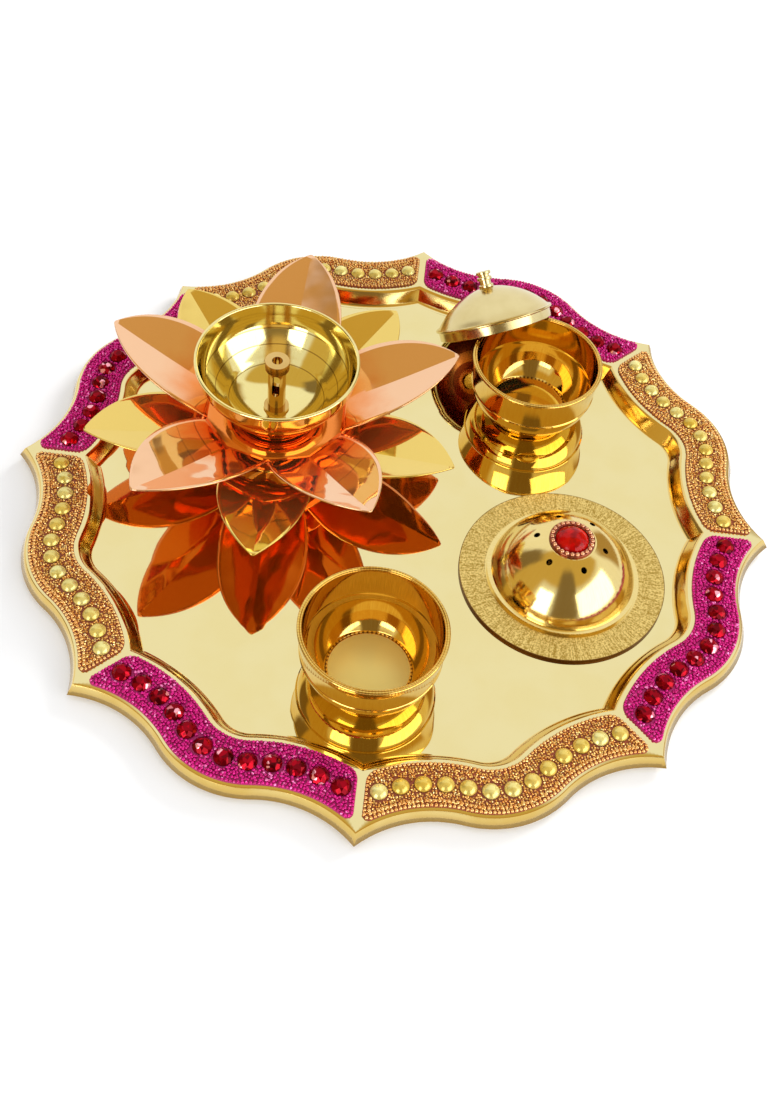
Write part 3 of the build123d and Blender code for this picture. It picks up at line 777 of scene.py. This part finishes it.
def panel_bed(lobe, name, material, node):
    """The outline's face, lifted to a low slab with a rounded upper edge."""
    shape = panel_outline(BED_INSET, lobe, LEDGE_TOP)
    face = bmesh.ops.contextual_create(shape, geom=shape.edges[:])["faces"][0]
    if face.normal.z < 0:
        face.normal_flip()
    lifted = bmesh.ops.extrude_face_region(shape, geom=[face])["geom"]
    top = [item for item in lifted if isinstance(item, bmesh.types.BMVert)]
    bmesh.ops.translate(shape, verts=top, vec=(0, 0, BED_HEIGHT - BED_DIP))
    upper = [edge for edge in shape.edges if all(vert in top for vert in edge.verts)]
    rounding = {"offset": BED_BEVEL, "offset_type": "OFFSET", "segments": 2, "profile": 0.5}
    bmesh.ops.bevel(shape, geom=upper, affect="EDGES", material=-1, **rounding)
    bmesh.ops.recalc_face_normals(shape, faces=shape.faces)
    bed = object_from(name, shape, 50)
    bed.data.materials.append(material)
    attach(bed, "tray")
    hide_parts(node)
    return bed


# %% Rows of beads
FULL_TURN = 6.28
BEAD_SIZES = (0.88, 1.08)
JITTER_SHARES = (1.0, 1.0, 0.4)


def clear_of(place, stones, gap):
    return all((place - stone).xy.length > gap for stone in stones)


def bead_rows(rows, mesh, chance, lobe, stones, gap, jitter, shape, keep=None):
    """Stamps a mesh along rows at (margin, height, spacing), clear of the stones."""
    for margin, height, spacing in rows:
        for place in spaced_places(panel_outline(margin, lobe, LEDGE_TOP + height), spacing):
            place += Vector([chance.uniform(-jitter, jitter) * share for share in JITTER_SHARES])
            if not clear_of(place, stones, gap) or (keep and not keep(place)):
                continue
            size = chance.uniform(*BEAD_SIZES)
            spin = Matrix.Rotation(chance.uniform(0, FULL_TURN), 4, "Z")
            if mesh is granule:
                spin = spin @ Matrix.Rotation(chance.uniform(0, FULL_TURN), 4, "X")
            at = Matrix.Translation(place) @ spin @ Matrix.Scale(size, 4)
            stamp(shape, mesh, at, chance.random())


def dress(name, shape, material, node=None):
    """Makes the stamps a piece of the tray. Gives the number of its faces."""
    piece = stamped_object(name, shape)
    piece.data.materials.append(material)
    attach(piece, "tray")
    if node:
        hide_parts(node)
    return len(piece.data.polygons)


# %% Gold panels
# Rows are given by margin, height above the ledge and spacing.
GOLD_EDGE_ROW = (0.8, 0.75, 1.55)
GOLD_SECOND_ROW = (2.35, 0.85, 1.55)
GRANULE_ROWS = [(1.9 + 0.84 * row, 0.8, 1.0) for row in range(9)]
CLOSE_STONE = 5.5


def gold_panel(lobe):
    """Copper beads round the edge, a second row of them outside the stones, granules and domes."""
    number, chance = lobe + 1, random.Random(40 + lobe)
    bed = panel_bed(lobe, f"gold_bed_{number}", gold_glue, f"gold_panel_bed_{number}")
    places = stone_places(CABOCHON_SIZE, CABOCHON_COUNT, lobe)

    def outer_side(place):
        close = [stone for stone in places if (place - stone).xy.length < CLOSE_STONE]
        nearest = min(places, key=lambda stone: (stone - place).length)
        return nearest.length < place.length and all(stone.length <= place.length for stone in close)

    rows = stamped_shape()
    bead_rows([GOLD_EDGE_ROW], round_bead, chance, lobe, places, 3.4, 0.05, rows)
    bead_rows([GOLD_SECOND_ROW], round_bead, chance, lobe, places, 3.7, 0.05, rows, outer_side)
    node = f"gold_panel_border_{number}"
    faces = dress(f"gold_bead_rows_{number}", rows, copper_bead, node)
    fill = stamped_shape()
    bead_rows(GRANULE_ROWS, granule, chance, lobe, places, 3.55, 0.3, fill)
    faces += dress(f"gold_granules_{number}", fill, gold_granule)
    stones = stamped_shape()
    for place in places:
        stamp(stones, cabochon, Matrix.Translation(place), chance.random())
    node = f"gold_panel_stones_{number}"
    return faces + dress(f"cabochons_{number}", stones, pearl_yellow, node)


# %% Red panels
RED_EDGE_ROW = (0.8, 0.75, 1.4)
SEED_ROWS = [(2.0 + 1.05 * row, 0.9, 1.2) for row in range(7)]


def red_panel(lobe):
    """Seed beads all over, closer in line along the edge, and cut stones."""
    number, chance = lobe + 1, random.Random(70 + lobe)
    bed = panel_bed(lobe, f"red_bed_{number}", magenta_glue, f"red_panel_bed_{number}")
    places = stone_places(RHINESTONE_SIZE, RHINESTONE_COUNT, lobe)
    rows = stamped_shape()
    bead_rows([RED_EDGE_ROW], seed_bead, chance, lobe, places, 3.9, 0.08, rows)
    node = f"red_panel_border_{number}"
    faces = dress(f"red_bead_rows_{number}", rows, magenta_glass, node)
    fill = stamped_shape()
    bead_rows(SEED_ROWS, seed_bead, chance, lobe, places, 3.85, 0.4, fill)
    faces += dress(f"red_seed_beads_{number}", fill, magenta_glass)
    stones = stamped_shape()
    for place in places:
        spin = Matrix.Rotation(chance.uniform(0, FULL_TURN), 4, "Z")
        stamp(stones, rhinestone, Matrix.Translation(place) @ spin, chance.random())
    node = f"red_panel_stones_{number}"
    return faces + dress(f"rhinestones_{number}", stones, foil_red, node)


# %% Gold and red in turn
rim_faces = [(gold_panel, red_panel)[lobe % 2](lobe) for lobe in range(LOBES)]
print("faces of the beads and stones, panel by panel:", rim_faces)

# %% [markdown]
# ## Turned pieces
# Bowls, lid, knob, setting and stone are all spun on a lathe. Here too: a half section is drawn with
# straight strokes and arcs, and one full Spin makes the solid. Drawing the section from given points
# allows for what a plain cylinder lacks, such as a double bead on a rim or a scored ring round a bowl's
# floor.

# %% A half section and its spin
class Profile:
    """Half section of a turned piece, drawn as edges beside the Z axis."""

    def __init__(self, radius, z):
        self.shape = bmesh.new()
        self.pen = self.shape.verts.new((radius, 0, z))

    def line(self, *points):
        for radius, z in points:
            self.pen = straight(self.shape, self.pen, Vector((radius, 0, z)))
        return self

    def arc(self, radius, z, goal_radius, goal_z, steps=12):
        """Swings about a centre, the short way, until it points at the goal."""
        centre = Vector((radius, 0, z))
        start = self.pen.co - centre
        turn = math.atan2(start.z, start.x) - math.atan2(goal_z - z, goal_radius - radius)
        turn = (turn + math.pi) % (2 * math.pi) - math.pi
        swung = {"cent": centre, "axis": (0, 1, 0), "angle": turn, "steps": steps}
        drawn = bmesh.ops.spin(self.shape, geom=[self.pen], **swung)
        self.pen = next(item for item in drawn["geom_last"] if isinstance(item, bmesh.types.BMVert))
        return self

    def turned(self, steps=128):
        """Spins the section all the way round."""
        shape = self.shape
        full = {"cent": MIDDLE, "axis": AXIS, "angle": 2 * math.pi, "steps": steps, "use_merge": True}
        bmesh.ops.spin(shape, geom=everything(shape), **full)
        bmesh.ops.remove_doubles(shape, verts=shape.verts, dist=1e-4)
        bmesh.ops.recalc_face_normals(shape, faces=shape.faces)
        return shape


def turned_piece(name, profile, place, material, body, node, crease=28.0, steps=128):
    """A spun piece set at a matrix, riding a body in place of a CAD node."""
    shape = profile.turned(steps)
    bmesh.ops.transform(shape, matrix=place, verts=shape.verts)
    piece = object_from(name, shape, crease)
    piece.data.materials.append(material)
    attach(piece, body)
    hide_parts(node)
    return piece


# %% [markdown]
# ## Turned finishes
# A lathe and a buffing wheel leave marks that follow the axis, so these finishes work in the radius,
# angle and height about it. Hairlines are noise drawn out along the wall, scored circles are bands of
# the radius, and the notches round a bowl's floor and the rope on its rim are waves in the angle.

# %% Finishes about an axis
def around(place, centre):
    """Radius in mm, angle, and height in mm above the table, about an upright axis."""
    shift = (-centre.x * MM, -centre.y * MM, 0)
    shifted = place.node("Mapping", {}, {"Vector": place, "Location": shift})
    x, y, z = shifted.axis("X"), shifted.axis("Y"), shifted.axis("Z")
    return (x * x + y * y).math("SQRT") * 1000, y.math("ARCTAN2", x), z * 1000


def drawn_noise(angle, radius, height, lines, run):
    """Noise in fine lines along a wall or out along a flange."""
    spread = angle.node("CombineXYZ", {}, {"X": angle * lines, "Y": radius * run, "Z": height * run})
    return angle.node("TexNoise", {}, {"Vector": spread, "Scale": 1.0, "Detail": 2.0}, "Fac")


# %% Marks of the small bowls, the lamp and the stand
# Tones of brass, lighter and deeper, and of the dark in its scored lines.
WALL_TONES = ((0.86, 0.52, 0.10, 1), (0.66, 0.33, 0.035, 1))
PLATE_TONES = ((1.0, 0.86, 0.31, 1), (0.98, 0.80, 0.24, 1))
FLANGE_TONES = ((0.44, 0.28, 0.05, 1), (0.93, 0.71, 0.25, 1))
NOTCH_BROWN, SCORE_BROWN = (0.24, 0.10, 0.012, 1), (0.26, 0.15, 0.02, 1)
# Painted shadow along the flange's outer edge, for the gap beneath it.
FLANGE_EDGE_SHADOW = (0.16, 0.06, 0.01, 1)
# Radii and heights in mm: a bowl's floor plate and brushed wall, the stand's flange and its edge.
PLATE_RADIUS, PLATE_TOP = 15.4, 2.6
NOTCHES, ROPE_TURNS, RIM_HEIGHT = 60, 150, 27.9
WALL_RADIUS, WALL_FOOT = 25.85, 15.4
FLANGE_RADIUS, FLANGE_TOP, FLANGE_EDGE = 30.4, 2.6, 40.6


def floor_plate(radius, height):
    """1 on the floor of a small bowl, and 1 on the ring scored round it."""
    low = 1 - height.ramp(PLATE_TOP, PLATE_TOP + 0.4)
    ring = radius.ramp(PLATE_RADIUS, PLATE_RADIUS + 0.1)
    ring = ring * (1 - radius.ramp(PLATE_RADIUS + 0.9, PLATE_RADIUS + 1.1))
    return (1 - radius.ramp(PLATE_RADIUS - 0.2, PLATE_RADIUS)) * low, ring * low


def bowl_marks(colour, plate, ring, spot, fine, cloud):
    """A small bowl's brushed inner wall, pale floor, notched ring and rope rim."""
    radius, angle, height = spot
    notched = (angle * NOTCHES).math("SINE").ramp(-0.2, 0.5) * ring
    rope = (angle * ROPE_TURNS).math("SINE").ramp(-0.3, 0.6)
    rope = rope * height.ramp(RIM_HEIGHT, RIM_HEIGHT + 0.3)
    wall = (1 - radius.ramp(WALL_RADIUS, WALL_RADIUS + 0.1)) * height.ramp(WALL_FOOT, WALL_FOOT + 0.8)
    colour = wall.mix(colour, fine.ramp(0.35, 0.65).mix(*WALL_TONES))
    colour = plate.mix(colour, cloud.mix(*PLATE_TONES))
    return (notched * 0.9 + rope * 0.22).mix(colour, NOTCH_BROWN)


def scored_circle(colour, radius, height, circle, above):
    """A fine dark circle at a radius, where the wall is above a height."""
    line = radius.ramp(circle - 0.22, circle - 0.08)
    line = line * (1 - radius.ramp(circle + 0.08, circle + 0.22))
    high = height.ramp(above - 0.1, above + 0.1)
    return (line * high * 0.7).mix(colour, SCORE_BROWN)


def flange_marks(colour, dull, place, radius, fine):
    """The stand's flange, brushed and speckled, with painted shadow on its outer edge."""
    speck = place.node("TexNoise", {}, {"Vector": place, "Scale": 1400.0, "Detail": 2.0}, "Fac")
    brushed = (fine + speck - 0.5).ramp(0.3, 0.7).mix(*FLANGE_TONES)
    brushed = radius.ramp(FLANGE_EDGE, FLANGE_EDGE + 0.35).mix(brushed, FLANGE_EDGE_SHADOW)
    return dull.mix(colour, brushed)


# %% Turned brass
def turned_finish(name, centre, tones, roughness, hairline, floor=None, circles=(), flange=False):
    """Polished turned brass. It may have a floor of some dullness, scored circles or a satin flange."""
    material, output, place = new_material(name)
    radius, angle, height = around(place, centre)
    fine = drawn_noise(angle, radius, height, 240.0, 0.12)
    cloud = place.node("TexNoise", {}, {"Vector": place, "Scale": 60.0, "Detail": 3.0}, "Fac")
    light, deep = tones
    colour = (cloud * 0.4 + fine.ramp(0.35, 0.65) * 0.8 - 0.1).mix((*light, 1), (*deep, 1))
    gloss, relief, metallic = roughness + fine * 0.05, fine * hairline, 1.0
    for circle, above in circles:
        colour = scored_circle(colour, radius, height, circle, above)
    if floor:
        plate, ring = floor_plate(radius, height)
        colour = bowl_marks(colour, plate, ring, (radius, angle, height), fine, cloud)
        gloss = gloss + plate * floor
        metallic = 1 - plate * floor * 1.2
    if flange:
        dull = radius.ramp(FLANGE_RADIUS, FLANGE_RADIUS + 0.4)
        dull = dull * (1 - height.ramp(FLANGE_TOP, FLANGE_TOP + 0.4))
        colour = flange_marks(colour, dull, place, radius, fine)
        gloss = gloss + dull * 0.26
        relief = relief + fine * dull * 0.5
    bump = place.node("Bump", {}, {"Strength": 0.5, "Distance": 0.0001, "Height": relief})
    shader = {"Base Color": colour, "Metallic": metallic, "Roughness": gloss, "Normal": bump}
    return finish_with(material, output, place.node("BsdfPrincipled", {}, shader))


OPEN_BOWL_PLACE = Vector((-2.2, -81.1, 1.05))
LIDDED_BOWL_PLACE = Vector((52.7, 64.2, 1.05))
LOTUS_PLACE = Vector((-52.0, 23.0, 1.05))
STAND_PLACE = Vector((69.0, -26.0, 1.05))
BOWL_TONES = ((0.88, 0.63, 0.19), (0.76, 0.46, 0.08))
LAMP_TONES = ((0.90, 0.78, 0.36), (0.87, 0.73, 0.28))
STAND_TONES = ((0.88, 0.71, 0.31), (0.84, 0.65, 0.24))
# Each scored circle has a radius, and a height above which it is drawn.
LAMP_CIRCLES = ((19.0, 26.9), (24.2, 32.6), (28.1, 39.2))
SATIN, POLISHED = 0.42, 0.02

open_brass = turned_finish("open_brass", OPEN_BOWL_PLACE, BOWL_TONES, 0.03, 0.06, SATIN)
lidded_brass = turned_finish("lidded_brass", LIDDED_BOWL_PLACE, BOWL_TONES, 0.03, 0.06, POLISHED)
lamp_brass_turned = turned_finish(
    "lamp_brass_turned", LOTUS_PLACE, LAMP_TONES, 0.06, 0.01, circles=LAMP_CIRCLES
)
stand_brass = turned_finish("stand_brass", STAND_PLACE, STAND_TONES, 0.09, 0.03, flange=True)
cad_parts["incense_dome"].data.materials[0] = stand_brass
print("nodes in the open bowl's finish:", len(open_brass.node_tree.nodes))

# %% [markdown]
# ## Bowls
# Both small bowls have a round belly, an upright band with a raised line below it, and a rim rolled
# into two fine beads. The lamp's bowl is rounded below and flares in a nearly straight wall to a short
# upright lip. Each section runs up the outside, over the rim and down the inside.

# %% Spin the bowls
LAMP_BOWL_LIFT = Vector((0, 0, 21.6))


def small_bowl():
    profile = Profile(0, 0).line((14.0, 0), (14.5, 0.15)).arc(11.73, 14.0, 26.0, 13.5, 20)
    profile.line((26.3, 13.75), (26.4, 14.1), (26.3, 14.5), (26.1, 14.7))
    profile.line((26.95, 26.4), (27.2, 26.8))
    profile.arc(26.85, 27.3, 26.85, 28.0, 8).arc(26.85, 27.3, 26.42, 27.5, 5).line((26.38, 27.2))
    profile.arc(25.95, 27.3, 25.95, 28.0, 5).arc(25.95, 27.3, 25.55, 27.0, 6).line((25.75, 26.5))
    profile.line((24.95, 14.9), (24.8, 14.4), (24.6, 14.0)).arc(2.0, 20.0, 16.3, 1.6, 20)
    return profile.line((16.2, 1.3), (16.0, 1.15), (15.7, 1.2), (15.4, 1.35), (0, 1.35))


def lamp_bowl():
    profile = Profile(0, 0).line((12.8, 0), (13.0, 0.2), (13.0, 1.18)).arc(6.0, 21.3, 22.23, 7.5, 16)
    profile.line((22.6, 8.0), (29.45, 18.6), (30.6, 21.0), (31.3, 23.6))
    profile.line((31.75, 26.6), (31.95, 27.4))
    profile.arc(31.55, 28.0, 31.55, 28.9, 8).arc(31.55, 28.0, 30.9, 28.0, 6)
    profile.line((30.6, 27.3), (30.15, 24.0), (29.4, 21.2), (28.3, 19.0))
    return profile.arc(-21.6, 51.2, 21.2, 8.3, 14).arc(6.0, 21.3, 6.0, 1.3, 18).line((0, 1.3))


for name, place, finish in (
    ("open_bowl", OPEN_BOWL_PLACE, open_brass),
    ("lidded_bowl", LIDDED_BOWL_PLACE, lidded_brass),
):
    at = Matrix.Translation(place)
    turned_piece(f"{name}_turned", small_bowl(), at, finish, name, name)
at = Matrix.Translation(LOTUS_PLACE + LAMP_BOWL_LIFT)
turned_piece("lamp_bowl_turned", lamp_bowl(), at, lamp_brass_turned, "lotus_lamp", "lamp_bowl")

# %% [markdown]
# ## Lid
# The lid leans on its bowl, so its section is drawn upright and then set along the lid's own axis.
# Its dome is brushed to a soft pale shine. Inside, which only the tray's mirror shows, it is a duller
# red brown in rings, so the faces that look inwards get two more metals. The knob is three rings,
# rounded at each edge.

# %% Spin the lid and its knob
LID_PLACE = Vector((33.63, 94.49, 20.92))
LID_AXIS = Vector((-0.3586, 0.5695, 0.7396))
LID_TOP = 14.0
LID_ROUND_CENTRE = Vector((0, 0, -20))
KNOB_RINGS = ((0, 1.44), (3.36, 4.8), (5.76, 7.2))
lean = Vector(AXIS).rotation_difference(LID_AXIS).to_matrix().to_4x4()
lid_seat = Matrix.Translation(LID_PLACE) @ lean


def lid_profile():
    profile = Profile(0, LID_TOP).line((3.9, LID_TOP)).arc(-2.71, -19.81, 24.1, 1.6, 24)
    profile.line((24.5, 1.35), (25.2, 1.25), (25.6, 1.1), (25.75, 0.8), (25.75, 0.3))
    profile.line((25.55, 0.05), (24.95, 0), (24.75, -0.2), (24.75, -3.7), (24.6, -3.95))
    profile.line((24.1, -3.95), (23.85, -3.7))
    return profile.line((23.85, 0.77)).arc(-2.71, -19.81, 4.2, 13.07, 24).line((0, 13.07))


def knob_profile():
    profile = Profile(0, 0)
    for low, high in KNOB_RINGS:
        profile.line((2.4, low), (2.95, low + 0.03), (3.2, low + 0.3))
        profile.line((3.2, high - 0.3), (2.95, high - 0.03), (2.4, high))
    return profile.line((0, 7.2))


lid = turned_piece("lid_turned", lid_profile(), lid_seat, lid_brass, "bowl_lid", "lid_shell")
lid_inside = metal("lid_inside", (0.62, 0.24, 0.08), (0.48, 0.15, 0.04), 0.22)
lid_inside_ring = metal("lid_inside_ring", (0.20, 0.035, 0.012), (0.28, 0.06, 0.018), 0.25)
lid.data.materials.append(lid_inside)
lid.data.materials.append(lid_inside_ring)
for face in lid.data.polygons:
    middle, facing = lid_seat.inverted() @ (face.center / MM), lean.inverted() @ face.normal
    if facing.dot(middle - LID_ROUND_CENTRE) < 0:
        out = middle.xy.length
        face.material_index = 2 if 6 < out < 10 or out > 15 else 1
at, knob = lid_seat @ Matrix.Translation((0, 0, LID_TOP)), knob_profile()
turned_piece("knob_turned", knob, at, lid_brass, "bowl_lid", "lid_knob", steps=48)
print("lid tilt, degrees:", round(math.degrees(LID_AXIS.angle(Vector(AXIS))), 1))

# %% [markdown]
# ## Red stone and its setting
# A domed red glass stone sits on the incense stand in a ring of copper beads. The beads are stamped,
# like those of the rim, from a rounder mesh because they are seen closer.

# %% The red stone
def glass_red():
    """Deep red glass, a little cloudy."""
    material, output, place = new_material("glass_red")
    cloud = place.node("TexNoise", {}, {"Vector": place, "Scale": 250.0, "Detail": 2.0}, "Fac")
    deep, bright = (0.22, 0.0004, 0.0008, 1), (0.50, 0.002, 0.0015, 1)
    shader = {
        "Base Color": cloud.ramp(0.35, 0.65).mix(deep, bright),
        "Roughness": 0.03 + cloud * 0.04,
        "Specular IOR Level": 0.2,
    }
    return finish_with(material, output, place.node("BsdfPrincipled", {}, shader))


STONE_HEIGHT = 4.2
STAND_TOP = STAND_PLACE + Vector((0, 0, 22.6))
stone = Profile(0, 0).line((6.3, 0), (6.5, 0.2), (6.5, 0.6)).arc(0, -3.47, 0, STONE_HEIGHT, 20)
at, red_glass = Matrix.Translation(STAND_TOP), glass_red()
turned_piece("stone_turned", stone, at, red_glass, "incense_stand", "red_stone", 40.0, 64)
print("stone's top, mm:", round(STAND_TOP.z + STONE_HEIGHT, 2))

# %% Its setting
RING_BEADS = 24
RING_RADIUS = 7.75
RING_BEAD_LIFT = Vector((0, 0, 1.06))

ring = Profile(6.6, 0).line((8.7, 0), (8.9, 0.2), (8.85, 0.75), (8.6, 1.0))
ring.line((6.9, 1.0), (6.6, 0.8), (6.6, 0))
ring_mesh = mesh_from("setting_ring", ring.turned(96))
setting = stamped_shape()
ring_bead = bead_mesh("ring_bead", 8, 12, 0.88)
for index in range(RING_BEADS):
    place = polar(RING_RADIUS, index * 360.0 / RING_BEADS) + RING_BEAD_LIFT
    stamp(setting, ring_bead, Matrix.Translation(place), 0.7 + 0.3 * (index % 3) / 2)
setting.from_mesh(ring_mesh)
bmesh.ops.transform(setting, matrix=at, verts=setting.verts)
for face in setting.faces:
    face.smooth = True
piece = stamped_object("setting_beads", setting)
setting_tones = ((0.22, 0.03, 0.02), (1.0, 0.56, 0.33))
piece.data.materials.append(bead_finish("setting_copper", *setting_tones, 0.9, 0.12))
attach(piece, "incense_stand")
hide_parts("stone_setting")
print("faces of the setting:", len(piece.data.polygons))

# %% [markdown]
# ## Lotus petals
# Each layer is five petals pressed from one sheet, creased along the middle and cupped to both sides.
# A grid laid over a Bezier patch gives a petal: its crease and its edge are two curves, and every row
# of the grid runs from one edge through the crease to the other. Solidify gives the sheet its thickness
# and the underside its own finish. The copper petals are bent a little each in its own way, by a turn
# and a reach.

# %% A petal from a grid
PETALS = 5
SIDE_RISE = 7.0
PETAL_CUP = 0.3


def bezier(points, share):
    """Point of a Bezier curve, by drawing the line between neighbours again and again."""
    while len(points) > 1:
        points = [a.lerp(b, share) for a, b in zip(points, points[1:])]
    return points[0]


def petal_shape(hub_radius, hub_rise, tip_radius, tip_rise):
    """One petal along +X, from its root on the hub to its tip."""
    root, base = hub_radius - 2.0, hub_rise + 1.3
    length, climb = tip_radius - root, tip_rise + 1.0 - base
    notch = polar(root, 180.0 / PETALS)
    crease = [
        Vector((root, 0, base)),
        Vector((root + length * 0.33, 0, base + climb * 0.26)),
        Vector((root + length * 0.67, 0, base + climb * 0.63)),
        Vector((tip_radius, 0, base + climb)),
    ]
    edge = [
        Vector((notch.x, notch.y, base)),
        Vector((root + length * 0.28, 22.0, base + climb * 0.22 + SIDE_RISE)),
        Vector((root + length * 0.72, 17.85, base + climb * 0.68 + SIDE_RISE * 0.8)),
        Vector((tip_radius, 0.4, base + climb)),
    ]
    middle = [(a + b) / 2 - Vector((0, 0, PETAL_CUP)) for a, b in zip(crease, edge)]
    middle[3] = (crease[3] + edge[3]) / 2
    shape = bmesh.new()
    bmesh.ops.create_grid(shape, x_segments=28, y_segments=20, size=1.0)
    for vert in shape.verts:
        along, side = (vert.co.x + 1) / 2, vert.co.y
        rows = [bezier(points, along) for points in (crease, middle, edge)]
        vert.co = bezier(rows, abs(side))
        vert.co.y = math.copysign(vert.co.y, side)
    return shape


# %% A layer of petals
PETAL_THICKNESS = 0.6


def petal_layer(name, sizes, bends, height, first_angle, finishes, node):
    """Petals, each with its own turn and reach, round a hub, on the lotus lamp at a height."""
    hub_radius, hub_rise, tip_radius, tip_rise = sizes
    shape = bmesh.new()
    for index, (turn, reach) in enumerate(bends):
        petal = petal_shape(hub_radius, hub_rise, tip_radius + reach, tip_rise)
        turned = Matrix.Rotation(math.radians(360.0 / PETALS * index + turn), 3, "Z")
        bmesh.ops.rotate(petal, verts=petal.verts, cent=MIDDLE, matrix=turned)
        shape.from_mesh(mesh_from("petal", petal))
    hub = Profile(8.0, 1.6).line((18.0, 1.6), (hub_radius, hub_rise + 1.6)).turned(80)
    shape.from_mesh(mesh_from("hub", hub))
    bmesh.ops.recalc_face_normals(shape, faces=shape.faces)
    for face in shape.faces:
        if face.normal.z < 0:
            face.normal_flip()
    turn = Matrix.Rotation(math.radians(first_angle), 4, "Z")
    at = Matrix.Translation(LOTUS_PLACE + Vector((0, 0, height))) @ turn
    bmesh.ops.transform(shape, matrix=at, verts=shape.verts)
    piece = object_from(name, shape, 20)
    sheet = piece.modifiers.new("sheet", "SOLIDIFY")
    sheet.thickness, sheet.offset, sheet.material_offset = PETAL_THICKNESS * MM, -1.0, 1
    for finish in finishes:
        piece.data.materials.append(finish)
    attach(piece, "lotus_lamp")
    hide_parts(node)
    return piece


# %% Finishes of the petals
def petal_metal(name, colour, deep, metallic, roughness):
    """Pressed sheet with painted reflection, deeper in colour near the hub; its reflections waver
    because it isn't quite flat.
    """
    material, output, place = new_material(name)
    radius = around(place, LOTUS_PLACE)[0]
    cloud = place.node("TexNoise", {}, {"Vector": place, "Scale": 90.0, "Detail": 2.0}, "Fac")
    wave = place.node("TexNoise", {}, {"Vector": place, "Scale": 80.0, "Detail": 1.0}, "Fac")
    shader = {
        # Painted reflection: the colour deepens towards the hub, standing in for the mirrored lamp bowl
        # and the other petals.
        "Base Color": (radius + cloud * 16).ramp(34.0, 58.0).mix((*deep, 1), (*colour, 1)),
        "Metallic": metallic,
        "Roughness": roughness + cloud * 0.03,
        "Normal": place.node("Bump", {}, {"Strength": 0.35, "Distance": 0.0006, "Height": wave}),
    }
    return finish_with(material, output, place.node("BsdfPrincipled", {}, shader))


copper_top = petal_metal("copper_top", (0.93, 0.57, 0.34), (0.88, 0.26, 0.05), 0.95, 0.03)
brass_top = petal_metal("brass_top", (0.86, 0.63, 0.17), (0.82, 0.48, 0.10), 0.94, 0.03)
copper_under = petal_metal("copper_under", (0.80, 0.19, 0.026), (0.76, 0.11, 0.012), 0.75, 0.05)
print("petal finishes:", copper_top.name, brass_top.name, copper_under.name)

# %% The two layers
# Sizes are the hub's radius and rise, and the tips' radius and rise. A bend is a turn and a reach.
BRASS_SIZES, COPPER_SIZES = (27.0, 0.6, 76.5, 13.0), (30.0, 1.4, 75.0, 19.0)
BRASS_BENDS = ((0, 0),) * PETALS
COPPER_BENDS = ((0, 0), (-4.8, 0), (0, -3.6), (0, 3.5), (-2.4, 0))

sides = (brass_top, copper_under)
petal_layer("brass_lotus", BRASS_SIZES, BRASS_BENDS, 11.0, 55.7, sides, "brass_petals")
sides = (copper_top, copper_under)
petal_layer("copper_lotus", COPPER_SIZES, COPPER_BENDS, 20.0, 19.7, sides, "copper_petals")
